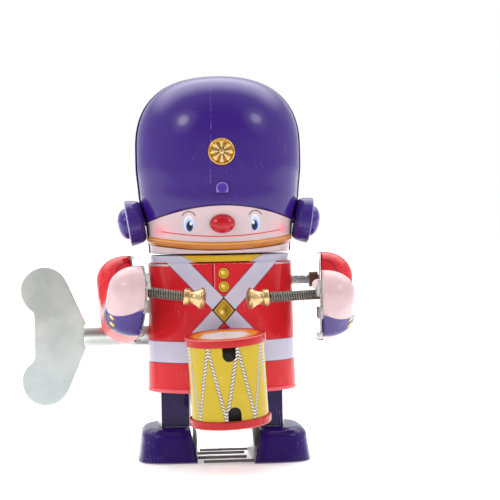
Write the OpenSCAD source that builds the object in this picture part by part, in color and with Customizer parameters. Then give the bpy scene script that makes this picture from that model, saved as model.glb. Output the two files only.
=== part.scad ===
// Wind-up tin drummer: a pressed-tin toy soldier with a drum, two swinging arms,
// two stepping legs, a spring motor and a large winding key.
// Millimetres, +Z up. The toy faces -Y and its key is on the -X side.
// The origin is on the floor, under the middle of the toy's bounding box.

/* [Body] */
// Full width of the oval body tube
body_w = 64.4; // [63:0.2:66]
// Full depth of the oval body tube
body_d = 48; // [47:0.5:49]
// Height of the body's lower edge above the floor
body_z = 30; // [29.5:0.1:30.5]
// Height of the shoulder edge
shoulder_edge_z = 85.2; // [84.8:0.1:85.4]
// Thickness of the tinplate
tin = 0.5; // [0.4:0.05:0.6]

/* [Head] */
// Height of the chin edge
chin_z = 89; // [88.8:0.1:89.4]
// Overall height of the toy
total_h = 165; // [162:0.5:168]
// Full width of the head
head_w = 71.6; // [70:0.2:72]
// Full depth of the head
head_d = 56; // [54:0.5:58]
// Height of the ear centres
ear_z = 103; // [101:0.5:105]

/* [Drum] */
// Diameter of the drum's shell
drum_d = 31.5; // [30:0.5:32]
// Diameter over the drum's rims
drum_rim_d = 33.5; // [33:0.1:34]
// Height of the drum
drum_h = 37; // [35:0.5:38]

/* [Arms] */
// Height of the shoulder axles
arm_z = 76.5; // [76:0.1:77]
// Distance of the right arm's inner plate from the centre plane
right_arm_x = 39.7; // [39.2:0.1:40.2]
// Distance of the left arm's inner plate from the centre plane
left_arm_x = 43.9; // [43.4:0.1:44.4]
// Depth of the pressed arm shells
arm_depth = 13.8; // [12.5:0.1:14.5]
// Inward turn of the right arm towards the drum, in degrees
right_toe_in = 8.5; // [8:0.1:9]
// Inward turn of the left arm towards the drum, in degrees
left_toe_in = 6; // [5.6:0.1:6.4]

/* [Legs] */
// Length of a foot
foot_l = 45; // [43:0.5:46]
// Height of a foot
foot_h = 14.3; // [13.8:0.1:14.5]
// Width of a foot at the floor
foot_w = 25.4; // [24.6:0.2:26]

/* [Key] */
// Height of the key's blade from lobe to lobe
key_span = 60.5; // [56:0.5:61]
// Radius of the key's lobes
key_lobe_r = 10.4; // [9.5:0.1:11]
// Diameter of the key's rolled stem
stem_d = 8.7; // [8.2:0.1:9]

/* [Motor] */
// Tooth module of the gear train
tooth_module = 0.7; // [0.68:0.01:0.71]
// Running clearance of the axles, measured on the radius
run = 0.05; // [0.03:0.01:0.08]

/* [Hidden] */
$fn = 48;

// The toy's own vertical axis, seen from the middle of the bounding box
axis_x = 14.2;
axis_y = 15.3;
fixed = 0.03;            // radial clearance of a fixed fit
hole_gap = 0.45;         // radial clearance of a shaft in a hole that does not carry it
half_w = body_w / 2;
half_d = body_d / 2;
neck_h = 3.1;            // collar that stands above the shoulder edge
neck_top = shoulder_edge_z + neck_h;
hem_h = 1.4;             // rolled hem along the body's lower edge
bead_h = 0.6;            // bead along its shoulder edge
neck_inset = 1;
body_sides = 64;
right = -1;              // the toy's own right hand is on the -X side
left = 1;

// Spring motor: places of the shafts in the Y-Z plane
great_teeth = 28;
pinion_teeth = 10;
wheel_teeth = 24;
mesh_gap = 0.06;
wheel_t = 1;             // face widths
pinion_t = 1.8;
key_y = 10;
key_z = 53.6;
second_dir = 208.3;      // direction from the key arbor to the second shaft
crank_dir = -81.8;       // directions from the second shaft
escape_dir = 197.7;
great_centre = (great_teeth + pinion_teeth) * tooth_module / 2 + mesh_gap;
wheel_centre = (wheel_teeth + pinion_teeth) * tooth_module / 2 + mesh_gap;
second_y = key_y + great_centre * cos(second_dir);
second_z = key_z + great_centre * sin(second_dir);
crank_y = second_y + wheel_centre * cos(crank_dir);
crank_z = second_z + wheel_centre * sin(crank_dir);
escape_y = second_y + wheel_centre * cos(escape_dir);
escape_z = second_z + wheel_centre * sin(escape_dir);
verge_y = -13.5;
verge_z = 52.5;
hip_y = 9;
hip_z = 42;
plate_in = 10.2;         // inner face of each frame plate
plate_t = 0.8;
plate_out = plate_in + plate_t;
arbor_r = 2.6;
shaft_r = 1.2;
small_shaft_r = 1;
hip_r = 1.5;
arm_axle_r = 2;
great_x = -9.4;          // low face of the great wheel
train_x = 7.3;           // low face of the second wheel
crank_throw = 1.6;
crank_window_r = 4.2;

tin_red = "firebrick";
tin_purple = "indigo";
bare_tin = "silver";

module at_axis() translate([axis_x, axis_y, 0]) children();
// Draws along +X: the child's own X and Y become Y and Z
module along_x(x, y, z) translate([x, y, z]) rotate([90, 0, 90]) children();
// Draws from x to x + h on one side of the toy, counted outwards
module outwards(side, x, y, z, h) along_x(side > 0 ? x : -x - h, y, z) linear_extrude(h) children();
module rod_x(x0, x1, y, z, r) along_x(min(x0, x1), y, z) cylinder(h = abs(x1 - x0), r = r);
// Places a child, drawn along +Z, from one point towards another
module aimed(a, b) {
    d = b - a;
    translate(a) rotate([0, acos(d[2] / norm(d)), atan2(d[1], d[0])]) children();
}

// ---- body ----
function oval_points(w, d) = [for (i = [0:body_sides - 1])
    let (a = 360 * (i + 0.5) / body_sides) [w * cos(a), d * sin(a)]];
module oval(inset) polygon(oval_points(half_w - inset, half_d - inset));
module oval_ring(z0, z1, inset) translate([0, 0, z0]) linear_extrude(z1 - z0) difference() {
    oval(inset);
    oval(inset + tin);
}

module body_shell() color(tin_red) at_axis() difference() {
    union() {
        oval_ring(body_z, body_z + hem_h, 0);
        oval_ring(body_z + hem_h, shoulder_edge_z - bead_h, 0.2);
        translate([0, 0, shoulder_edge_z - bead_h]) linear_extrude(bead_h) difference() {
            oval(0.45);
            oval(neck_inset + tin);
        }
        oval_ring(shoulder_edge_z, neck_top, neck_inset);
    }
    for (side = [right, left])
        rod_x(side * (half_w - 5), side * (half_w + 3), 0, arm_z, arm_axle_r + hole_gap);
    rod_x(-half_w + 8, -half_w - 3, key_y, key_z, stem_d / 2 + hole_gap);
}

cover_inset = 0.85;      // the cover plates sit just inside the tube's wall
cover_drop = 1.4;
tie_hole_x = 6;
module top_plate() color(bare_tin) at_axis() translate([0, 0, shoulder_edge_z - cover_drop])
    linear_extrude(plate_t) difference() {
        oval(cover_inset);
        for (x = [-tie_hole_x, tie_hole_x]) translate([x, 0]) circle(2);
    }

// Plate across the lower edge, with a notch on each side in which the leg swings
leg_gap_front = 10.4;
leg_gap_back = 13.4;
leg_gap_in = 13;
leg_gap_w = half_w - leg_gap_in;
module base_plate() color(bare_tin) at_axis() translate([0, 0, body_z + 0.2]) linear_extrude(plate_t)
    difference() {
        oval(cover_inset);
        for (side = [right, left])
            translate([side > 0 ? leg_gap_in : -leg_gap_in - leg_gap_w, stride(side) - leg_gap_front])
                square([leg_gap_w, leg_gap_back + leg_gap_front - stride(side)]);
    }

// ---- head: two pressed halves that meet at the side seam ----
head_rows = 22;
head_columns = 20;
dome_z = total_h - 32;
dome_power = 2.45;
hat_edge_z = 108;
// Half-width at height z, as a share of the full half-width
function head_share(z) = z >= dome_z
    ? pow(max(0, 1 - pow((z - dome_z) / (total_h - dome_z), dome_power)), 1 / dome_power)
    : 1 - 0.03 * face_blend((hat_edge_z + 19 - z) / 14) - 0.088 * face_blend((hat_edge_z + 7 - z) / 12)
        - 0.045 * max(0, (hat_edge_z - z) / 19);
function face_blend(t) = let (s = min(1, max(0, t))) s * s * (3 - 2 * s);
// Rows crowd together towards the crown, where the dome closes
function head_row_z(i) = chin_z + (total_h - chin_z) * (1 - pow(1 - i / head_rows, 1.35));
function head_point(i, j, inset, side) = let (
        z = head_row_z(i),
        a = 180 * j / head_columns,
        w = max(0.4, head_share(z) * head_w / 2 - inset * (i == 0 ? 1 : 1.15)),
        d = max(0.4, head_share(z) * head_d / 2 - inset * (i == 0 ? 1 : 1.15)))
    [w * cos(a), side * max(0.06, d * sin(a)),
        z - (z > dome_z ? inset * (z - dome_z) / (total_h - dome_z) : 0)];
// A closed half shell: outer grid, inner grid, both crown points and the joining strips
module half_head(side) {
    n = head_columns + 1;
    rows = head_rows;
    outer = [for (i = [0:rows - 1]) for (j = [0:head_columns]) head_point(i, j, 0, side)];
    inner = [for (i = [0:rows - 1]) for (j = [0:head_columns]) head_point(i, j, tin, side)];
    crown = [[0, side * 0.06, total_h], [0, side * 0.06, total_h - tin]];
    c = rows * n;
    top = (rows - 1) * n;
    grid = [for (i = [0:rows - 2]) for (j = [0:head_columns - 1]) each [
        [i * n + j, i * n + j + 1, (i + 1) * n + j + 1],
        [i * n + j, (i + 1) * n + j + 1, (i + 1) * n + j]]];
    cap = [for (j = [0:head_columns - 1]) [top + j, top + j + 1, 2 * c]];
    inside_grid = [for (f = grid) [f[2] + c, f[1] + c, f[0] + c]];
    inside_cap = [for (j = [0:head_columns - 1]) [top + j + 1 + c, top + j + c, 2 * c + 1]];
    foot = [for (j = [0:head_columns - 1]) each [[j + 1, j, c + j], [j + 1, c + j, c + j + 1]]];
    seam_a = [for (i = [0:rows - 2]) each [
        [i * n, (i + 1) * n, c + (i + 1) * n],
        [i * n, c + (i + 1) * n, c + i * n]]];
    seam_b = [for (i = [0:rows - 2]) each [
        [(i + 1) * n + n - 1, i * n + n - 1, c + (i + 1) * n + n - 1],
        [i * n + n - 1, c + i * n + n - 1, c + (i + 1) * n + n - 1]]];
    seam_top = [[top, 2 * c, 2 * c + 1], [top, 2 * c + 1, c + top],
        [2 * c, top + n - 1, c + top + n - 1], [2 * c, c + top + n - 1, 2 * c + 1]];
    all = concat(grid, cap, inside_grid, inside_cap, foot, seam_a, seam_b, seam_top);
    faces = side > 0 ? [for (f = all) [f[2], f[1], f[0]]] : all;
    polyhedron(points = concat(outer, inner, crown), faces = faces);
}
module head_front() color(tin_purple) at_axis() half_head(-1);
module head_back() color(tin_purple) at_axis() half_head(1);

// Strap on a post inside the head; its ends are the tabs that hold the two halves
tab_z = 114.2;
tab_w = 5;
tab_t = 0.6;
tab_rise = 2.4;
post_w = 8;
strap_reach = head_d / 2 - 2.2;
module head_bracket() color(bare_tin) at_axis() {
    translate([-tab_w / 2, -strap_reach, tab_z]) cube([tab_w, 2 * strap_reach, tab_t]);
    translate([-post_w / 2, -tab_t / 2, shoulder_edge_z - tab_t])
        cube([post_w, tab_t, tab_z - shoulder_edge_z + tab_t]);
    for (face = [-head_d / 2 - 0.1, head_d / 2 + tab_t + 0.1])
        translate([0, face, tab_z]) rotate([90, 0, 0]) linear_extrude(tab_t) tab_outline();
}
// A short tongue with a round end
module tab_outline() {
    translate([-tab_w / 2, 0]) square([tab_w, tab_rise]);
    intersection() {
        translate([0, tab_rise]) circle(tab_w / 2);
        translate([-tab_w / 2, tab_rise]) square([tab_w, tab_w / 2]);
    }
}

// Deep cup and domed cap, turned about the ear's own axis, which points outwards and a little down
ear_x = 32.8;
ear_droop = 9;
cup_depth = 6.8;
module ear(side, profile) at_axis() translate([side * ear_x, 0, ear_z])
    rotate([0, side * (90 + ear_droop), 0]) rotate_extrude() polygon(profile);
cup_profile = [[0, -1.3], [2.2, -1.3], [2.2, 0.2], [4.6, 0.2], [7.4, 1.4], [9.3, 2.8], [9.9, 4.4],
    [9.9, cup_depth], [9.4, cup_depth], [9.3, 4.8], [8.8, 3.4], [7, 2.2], [4.4, 1], [0, 1]];
cap_profile = concat([[0, cup_depth - 1], [7.1, cup_depth - 1]],
    [for (a = [0:15:90]) [7.1 * cos(a), cup_depth + 0.4 + 3.8 * sin(a)]]);
module right_ear_cup() color(tin_purple) ear(right, cup_profile);
module left_ear_cup() color(tin_purple) ear(left, cup_profile);
module right_ear_cap() color(tin_purple) ear(right, cap_profile);
module left_ear_cap() color(tin_purple) ear(left, cap_profile);

// ---- drum ----
drum_y = -41.5;
drum_z = 38;
drum_pitch = 4;
drum_roll = -3;
rim_h = 3.5;
lid_t = 0.5;
lid_gap = 0.1;           // the shell ends this far short of the lids
slot_w = 5.4;
slot_h = 5.8;
top_slot_turn = 1;       // the two slots are a little off the drum's front, in degrees
low_slot_turn = 3.5;
module on_drum() at_axis() translate([0, drum_y, drum_z]) rotate([drum_pitch, drum_roll, 0])
    translate([0, 0, -drum_h / 2]) children();
module drum_slot(turn, z) rotate([0, 0, turn]) translate([-slot_w / 2, -drum_d / 2 - 1, z])
    cube([slot_w, 2, slot_h]);
module drum_shell() color("gold") on_drum() difference() {
    translate([0, 0, lid_t + lid_gap]) cylinder(h = drum_h - 2 * (lid_t + lid_gap), d = drum_d);
    cylinder(h = drum_h, d = drum_d - 2 * tin);
    drum_slot(top_slot_turn, drum_h - rim_h - slot_h);
    drum_slot(low_slot_turn, rim_h);
}
// A shallow pressed lid: a disc with a rolled rim that grips the shell
lid_flat_r = 13.6;
lid_step_r = 14.2;
lid_sink = 0.3;
grip_r = drum_d / 2 + 0.05;
lid_r = drum_rim_d / 2;
lid_profile = [[0, lid_sink], [lid_flat_r, lid_sink], [lid_step_r, 0], [lid_r - 0.4, 0], [lid_r, 0.5],
    [lid_r, rim_h - 0.3], [lid_r - 0.3, rim_h], [grip_r, rim_h], [grip_r, lid_t], [lid_step_r, lid_t],
    [lid_flat_r, lid_t + 0.08], [0, lid_t + 0.08]];
module drum_lid() rotate_extrude($fn = 64) polygon(lid_profile);
module drum_bottom() color(tin_red) on_drum() drum_lid();
module drum_top() color("orange") on_drum() translate([0, 0, drum_h]) mirror([0, 0, 1]) drum_lid();
// Strap between the body's front and the back of the drum, with a raised pad
strap_y = -24.95;
strap_w = 8;
strap_low_z = 29.5;
strap_top_z = 49;
pad_z = 42;
module drum_bracket() color(bare_tin) at_axis() {
    translate([-strap_w / 2, strap_y, strap_low_z]) cube([strap_w, plate_t, strap_top_z - strap_low_z]);
    translate([-1.5, strap_y - 0.95, pad_z]) cube([3, 1.2, 4]);
}

// ---- frame and fixed parts of the motor ----
frame_front = -20;
frame_back = 19;
frame_neck = 12;
frame_low_z = body_z + 1;
frame_bend_z = 62;
frame_top_z = shoulder_edge_z - cover_drop;
pillar_r = 1.6;
tenon_r = 1;
hip_head_r = 2.6;
hip_end = 16;
module frame_plate(side) color(bare_tin) at_axis() difference() {
    outwards(side, plate_in, 0, 0, plate_t) polygon([[frame_front, frame_low_z], [frame_back, frame_low_z],
        [frame_back, frame_bend_z], [frame_neck, frame_top_z], [-frame_neck, frame_top_z],
        [frame_front, frame_bend_z]]);
    shaft_hole(side, 0, arm_z, arm_axle_r + run);
    shaft_hole(side, key_y, key_z, arbor_r + run);
    shaft_hole(side, second_y, second_z, shaft_r + run);
    shaft_hole(side, crank_y, crank_z, shaft_r + run);
    shaft_hole(side, escape_y, escape_z, small_shaft_r + run);
    shaft_hole(side, verge_y, verge_z, small_shaft_r + run);
    shaft_hole(side, hip_y, hip_z, hip_r + fixed);
    for (p = pillar_places) shaft_hole(side, p[0], p[1], tenon_r + fixed);
}
module shaft_hole(side, y, z, r) rod_x(side * (plate_in - 1), side * (plate_out + 1), y, z, r);
module right_frame_plate() frame_plate(right);
module left_frame_plate() frame_plate(left);
pillar_places = [[-16, 36], [15, 36], [-10, 78], [10, 78]];
module frame_pillars() color("lightgray") at_axis() for (p = pillar_places) {
    rod_x(-plate_in, plate_in, p[0], p[1], pillar_r);
    rod_x(-plate_out - 0.4, plate_out + 0.4, p[0], p[1], tenon_r);
}
module hip_pins() color("lightgray") at_axis() for (side = [right, left]) {
    rod_x(side * plate_in, side * hip_end, hip_y, hip_z, hip_r);
    rod_x(side * (hip_end - plate_t), side * hip_end, hip_y, hip_z, hip_head_r);
}
// Spiral strip of the mainspring, inner coil to outer coil
spring_turns = 6;
spring_in = 3.4;
spring_out = 9.1;
spring_steps = spring_turns * 20;
strip_t = 0.35;
strip_w = 12.6;
function spiral_point(i, gain) = let (
        a = 360 * spring_turns * i / spring_steps,
        r = spring_in + (spring_out - spring_in) * i / spring_steps + gain)
    [r * cos(a), r * sin(a)];
module mainspring() color("dimgray") at_axis() along_x(-strip_w / 2, key_y, key_z) linear_extrude(strip_w)
    polygon(concat([for (i = [0:spring_steps]) spiral_point(i, 0)],
        [for (i = [spring_steps:-1:0]) spiral_point(i, strip_t)]));

// ---- gears ----
function inv_deg(phi) = tan(phi) * 180 / PI - phi;
// Half the angle that a tooth takes at radius r, for a 20-degree involute
function tooth_half(teeth, r) = let (
        pitch_r = teeth * tooth_module / 2,
        base_r = pitch_r * cos(20),
        at_pitch = 90 / teeth - backlash / (2 * pitch_r) * 180 / PI)
    at_pitch + inv_deg(20) - (r > base_r ? inv_deg(acos(base_r / r)) : 0);
backlash = 0.2;
addendum = 0.72;
dedendum = 1.12;
function gear_points(teeth, phase) = let (
        pitch_r = teeth * tooth_module / 2,
        tip_r = pitch_r + addendum * tooth_module,
        root_r = pitch_r - dedendum * tooth_module,
        radii = [root_r, pitch_r * 0.975, pitch_r, (pitch_r + tip_r) / 2, tip_r])
    [for (i = [0:teeth - 1]) each concat(
        [for (r = radii) tooth_point(teeth, r, phase + 360 * i / teeth, -1)],
        [for (k = [len(radii) - 1:-1:0]) tooth_point(teeth, radii[k], phase + 360 * i / teeth, 1)])];
function tooth_point(teeth, r, centre, side) = polar(r, centre + side * tooth_half(teeth, r));
// Turn of a driven gear whose gap faces the driving gear's tooth, in direction dir from the driver
function mesh_phase(teeth, driver_teeth, driver_phase, dir) =
    dir + 180 + 180 / teeth - (driver_phase - dir) * driver_teeth / teeth;
second_pinion_phase = mesh_phase(pinion_teeth, great_teeth, 0, second_dir);
crank_phase = mesh_phase(pinion_teeth, wheel_teeth, 0, crank_dir);
escape_phase = mesh_phase(pinion_teeth, wheel_teeth, 0, escape_dir);
module gear(x, y, z, h, teeth, phase, bore_r) difference() {
    along_x(x, y, z) linear_extrude(h) polygon(gear_points(teeth, phase));
    rod_x(x - 1, x + h + 1, y, z, bore_r);
}

// ---- key, arbor and great wheel ----
blade_x = -58;
blade_t = 1;
stem_x = -31;            // the stem starts here, just outside the body
stem_wall = 0.8;
seam_w = 0.4;
arbor_step_x = -30.5;
arbor_end_x = -56;
blade_tip = -86.7;
blade_waist_x = -81;
lobe_centre = key_span / 2 - key_lobe_r;
// Butterfly blade: two lobes, a straight waist and slanting edges down to the stem
module blade_outline() {
    lobe_x = blade_tip + key_lobe_r;
    edge = [[blade_x - 0.05, stem_d / 2 - 0.4], [lobe_x + 7.9, lobe_centre + 6.8],
        [lobe_x, lobe_centre + key_lobe_r * 0.6], [blade_waist_x, lobe_centre]];
    for (s = [-1, 1]) {
        translate([lobe_x, s * lobe_centre]) circle(key_lobe_r);
        polygon(concat([[blade_x - 0.05, 0]], [for (p = edge) [p[0], s * p[1]]], [[blade_waist_x, 0]]));
    }
}
module winding_key() color("gainsboro") at_axis() {
    difference() {
        rod_x(stem_x, blade_x, key_y, key_z, stem_d / 2);
        rod_x(stem_x + 1, blade_x - 1, key_y, key_z, stem_d / 2 - stem_wall);
        translate([blade_x - 1, key_y + 2, key_z - seam_w / 2]) cube([stem_x - blade_x + 2, 4, seam_w]);
    }
    translate([0, key_y + blade_t / 2, key_z]) rotate([90, 0, 0]) linear_extrude(blade_t) blade_outline();
}
module key_arbor() color("lightgray") at_axis() {
    rod_x(arbor_step_x, plate_out + 1.4, key_y, key_z, arbor_r);
    rod_x(arbor_end_x, arbor_step_x, key_y, key_z, stem_d / 2 - stem_wall - fixed);
}
module great_wheel() color("goldenrod") at_axis()
    gear(great_x, key_y, key_z, wheel_t, great_teeth, 0, arbor_r + fixed);
ratchet_teeth = 14;
ratchet_r = 5.6;
ratchet_step = 1.1;
ratchet_t = 0.9;
module ratchet_wheel() color("lightgray") at_axis() difference() {
    along_x(great_x + wheel_t + 0.2, key_y, key_z) linear_extrude(ratchet_t)
        polygon([for (i = [0:ratchet_teeth - 1]) each [
            polar(ratchet_r, 360 * i / ratchet_teeth),
            polar(ratchet_r - ratchet_step, 360 * i / ratchet_teeth + 3)]]);
    rod_x(great_x, great_x + 3, key_y, key_z, arbor_r + fixed);
}
function polar(r, a) = [r * cos(a), r * sin(a)];

// ---- second shaft ----
second_end = 13;
module second_axle() color("lightgray") at_axis() rod_x(-second_end, second_end, second_y, second_z, shaft_r);
module second_pinion() color("goldenrod") at_axis()
    gear(great_x - 0.3, second_y, second_z, pinion_t, pinion_teeth, second_pinion_phase, shaft_r + fixed);
module second_wheel() color("goldenrod") at_axis()
    gear(train_x, second_y, second_z, wheel_t, wheel_teeth, 0, shaft_r + fixed);
// Three-lobed cams outside the plates, half a lobe apart left to right
cam_core_r = 4.4;
cam_reach = 4.6;
cam_lobe_r = 1.7;
cam_x = 11.6;
cam_t = 1.2;
module arm_cams() color("lightgray") at_axis() for (side = [right, left]) difference() {
    outwards(side, cam_x, second_y, second_z, cam_t) {
        circle(cam_core_r);
        for (i = [0:2]) translate(polar(cam_reach, 120 * i + 60 * side)) circle(cam_lobe_r);
    }
    rod_x(side * 11, side * 14, second_y, second_z, shaft_r + fixed);
}

// ---- crank shaft ----
crank_end = 12.6;
disc_x = 11.4;
disc_r = 3.3;
crank_pin_r = 0.9;
crank_pin_end = 15.4;
module crank_axle() color("lightgray") at_axis() rod_x(-crank_end, crank_end, crank_y, crank_z, shaft_r);
module crank_pinion() color("goldenrod") at_axis()
    gear(train_x - 0.4, crank_y, crank_z, pinion_t, pinion_teeth, crank_phase, shaft_r + fixed);
module crank_discs() color("lightgray") at_axis() for (side = [right, left]) {
    difference() {
        rod_x(side * disc_x, side * crank_end, crank_y, crank_z, disc_r);
        rod_x(side * 11, side * 13, crank_y, crank_z, shaft_r + fixed);
    }
    rod_x(side * crank_end, side * crank_pin_end, crank_y, crank_z + side * crank_throw, crank_pin_r);
}

// ---- escapement ----
escape_teeth = 12;
escape_r = 4.6;
escape_step = 1.5;
small_shaft_end = 11.4;
module escape_axle() color("lightgray") at_axis()
    rod_x(-small_shaft_end, small_shaft_end, escape_y, escape_z, small_shaft_r);
module escape_pinion() color("goldenrod") at_axis()
    gear(train_x - 0.4, escape_y, escape_z, pinion_t, pinion_teeth, escape_phase, small_shaft_r + fixed);
module escape_wheel() color("goldenrod") at_axis() difference() {
    along_x(-1, escape_y, escape_z) linear_extrude(0.8) polygon([for (i = [0:escape_teeth - 1]) each [
        polar(escape_r, 360 * i / escape_teeth), polar(escape_r - escape_step, 360 * i / escape_teeth + 9),
        polar(escape_r - escape_step, 360 * i / escape_teeth + 20)]]);
    rod_x(-2, 2, escape_y, escape_z, small_shaft_r + fixed);
}
// Rocking verge on its own arbor, hanging astride the escape wheel
module verge() color("lightgray") at_axis() {
    rod_x(-small_shaft_end, small_shaft_end, verge_y, verge_z, small_shaft_r);
    difference() {
        along_x(-1.4, verge_y, verge_z) linear_extrude(1.6) polygon([[-6.6, -5], [-6.6, -6.4], [-5.4, -6.4],
            [-4.6, -3.4], [-1.6, -1.8], [2.2, -1.8], [5.4, -3.4], [6.2, -6.4], [7.4, -6.4], [7.4, -5],
            [6, -1.6], [2.4, 2], [-2, 2], [-5.4, -1.6]]);
        rod_x(-3, 3, verge_y, verge_z, small_shaft_r);
    }
}

// ---- arms: drawn for the left side, with U outwards from the inner plate ----
arm_circles = [[0, 0, 12], [-10, -15, 10.3], [-24, -11.5, 10], [-35, -1.8, 10.4]];
arm_round = 5;
function round_profile(r, h) = concat([[0, 0], [r, 0]],
    [for (a = [0:18:90]) [r - arm_round + arm_round * cos(a), h - arm_round + arm_round * sin(a)]], [[0, h]]);
module pressed_disc(c, inset) translate([inset > 0 ? -1 : 0, c[0], c[1]]) rotate([0, 90, 0])
    rotate_extrude($fn = 28) polygon(round_profile(c[2] - inset, arm_depth - inset + (inset > 0 ? 1 : 0)));
module arm_solid(inset) for (i = [0:2]) hull() {
    pressed_disc(arm_circles[i], inset);
    pressed_disc(arm_circles[i + 1], inset);
}
// At rest the left hand is down at the drum and the right hand is up
function arm_x(side) = side > 0 ? left_arm_x : right_arm_x;
function toe_in(side) = side > 0 ? left_toe_in : right_toe_in;
left_hand_drop = 5.7;
function hand_drop(side) = side > 0 ? left_hand_drop : 0;
module at_shoulder(side) at_axis() mirror([side < 0 ? 1 : 0, 0, 0]) translate([arm_x(side), 0, arm_z])
    rotate([0, 0, -toe_in(side)]) rotate([hand_drop(side), 0, 0]) children();
module arm_outline(inset) for (i = [0:2]) hull() for (c = [arm_circles[i], arm_circles[i + 1]])
    translate([c[0], c[1]]) circle(c[2] - inset, $fn = 32);
module arm_shell(side) color(tin_red) at_shoulder(side) difference() {
    arm_solid(0);
    arm_solid(tin);
}
plate_proud = 0.9;       // the arm's inner plate stands this far out of the shell
arm_plate_t = 0.6;
axle_past = 5;           // the axle runs this far past the inner plate, then a washer closes it
washer_t = 1.2;
washer_r = 3.4;
bush_r = 3.35;
lever_l = 20;
lever_hub_r = 3.6;
lever_end_r = 2;
module arm_plate(side) color(bare_tin) difference() {
    at_shoulder(side) translate([-plate_proud, 0, 0]) rotate([90, 0, 90]) linear_extrude(arm_plate_t)
        arm_outline(0.2);
    at_axis() rod_x(side * (arm_x(side) - 3), side * (arm_x(side) + 6), 0, arm_z, arm_axle_r + 0.12);
    at_axis() aimed(stick_root(side), stick_tip_end(side)) translate([0, 0, -8])
        cylinder(h = 16, r = stick_r + 0.2);
}
module arm_axle(side) color("lightgray") at_axis() {
    far = arm_x(side) + axle_past;
    rod_x(side * plate_in, side * far, 0, arm_z, arm_axle_r);
    rod_x(side * far, side * (far + washer_t), 0, arm_z, washer_r);
}
module arm_bush(side) color("saddlebrown") at_axis() difference() {
    rod_x(side * (arm_x(side) - 5.2), side * (arm_x(side) - 1.5), 0, arm_z, bush_r);
    rod_x(side * (arm_x(side) - 6), side * arm_x(side), 0, arm_z, arm_axle_r + fixed);
}
module arm_lever(side) color("lightgray") at_axis() difference() {
    outwards(side, cam_x, 0, arm_z, cam_t) {
        circle(lever_hub_r);
        translate([-lever_end_r, -lever_l]) square([2 * lever_end_r, lever_l]);
        translate([0, -lever_l]) circle(lever_end_r);
    }
    rod_x(side * 11, side * 14, 0, arm_z, arm_axle_r + fixed);
}
stick_r = 2.1;
// The stick runs from inside the hand to its brass tip over the drum
function stick_root(side) = side > 0 ? [41.5, -36.2, 71.6] : [-37, -36.6, 74.7];
function stick_tip_end(side) = side > 0 ? [8.3, -40.6, 70.6] : [-8.3, -40.6, 70.8];
tip_l = 9;
coil_pitch = 1.25;
coil_groove = 0.35;
function stick_l(side) = norm(stick_root(side) - stick_tip_end(side));
function coils(side) = floor((stick_l(side) - tip_l) / coil_pitch);
module stick_spring(side) color("dimgray") at_axis() aimed(stick_root(side), stick_tip_end(side))
    rotate_extrude($fn = 24) polygon(concat([[0, 0]], [for (i = [0:coils(side) - 1]) each [
        [stick_r - coil_groove, i * coil_pitch], [stick_r, (i + 0.5) * coil_pitch]]],
        [[stick_r - coil_groove, coils(side) * coil_pitch], [0, coils(side) * coil_pitch]]));
// A collar, a waist and a flare that is widest near the far end
tip_profile = [[0, 0], [3.3, 0], [3.5, 0.3], [3.5, 2.2], [2.75, 2.6], [2.75, 3.6], [3.1, 4.8], [3.9, 6.1],
    [4.4, 6.8], [4.5, 7.4], [4.3, 8], [3.6, 8.5], [2.2, 8.9], [0, tip_l]];
module stick_tip(side) color("burlywood") at_axis() aimed(stick_root(side), stick_tip_end(side))
    translate([0, 0, stick_l(side) - tip_l]) rotate_extrude($fn = 40) polygon(tip_profile);
module right_arm_shell() arm_shell(right);
module left_arm_shell() arm_shell(left);
module right_arm_plate() arm_plate(right);
module left_arm_plate() arm_plate(left);
module right_arm_axle() arm_axle(right);
module left_arm_axle() arm_axle(left);
module right_arm_bush() arm_bush(right);
module left_arm_bush() arm_bush(left);
module right_arm_lever() arm_lever(right);
module left_arm_lever() arm_lever(left);
module right_stick_spring() stick_spring(right);
module left_stick_spring() stick_spring(left);
module right_stick_tip() stick_tip(right);
module left_stick_tip() stick_tip(left);

// ---- legs ----
leg_in = 14;
// The front web ends here, and the outer flange flares on from it
function leg_out(side) = side > 0 ? 25.1 : 26.6;
function flare(side) = leg_out(side) + 1.3;
leg_web_y = -8;
toe_reach = 12;
foot_in = 11.5;
knee_z = 28;
flare_run = 8;           // the outer flange flares over this depth
leg_web_h = 19;
hip_back = 13.4;
// At rest the left leg is a step forward and the right leg a step back
function stride(side) = -side * 3;
function foot_front(side) = leg_web_y - toe_reach + stride(side);
// Folded channel: a tall inner flange that hangs on the hip pin, a front web and a flared outer flange
module leg_channel(side) color(tin_purple) at_axis() difference() {
    union() {
        outwards(side, leg_in, 0, 0, plate_t) polygon([[leg_web_y + stride(side), foot_h + 0.1],
            [8 + stride(side), foot_h + 0.1], [8 + stride(side), knee_z], [hip_back, 38], [hip_back, 45.6],
            [5, 46.2], [leg_web_y + stride(side), 38]]);
        translate([0, leg_web_y + stride(side), foot_h + 0.1]) mirror([side < 0 ? 1 : 0, 0, 0])
            linear_extrude(leg_web_h) polygon([[leg_in, 0], [leg_out(side), 0], [flare(side), flare_run],
                [flare(side) - plate_t, flare_run], [leg_out(side) - plate_t, plate_t], [leg_in, plate_t]]);
    }
    rod_x(side * 13, side * 16, hip_y, hip_z, hip_r + run);
    rod_x(side * 13, side * 16, crank_y, crank_z, crank_window_r);
}
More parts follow.
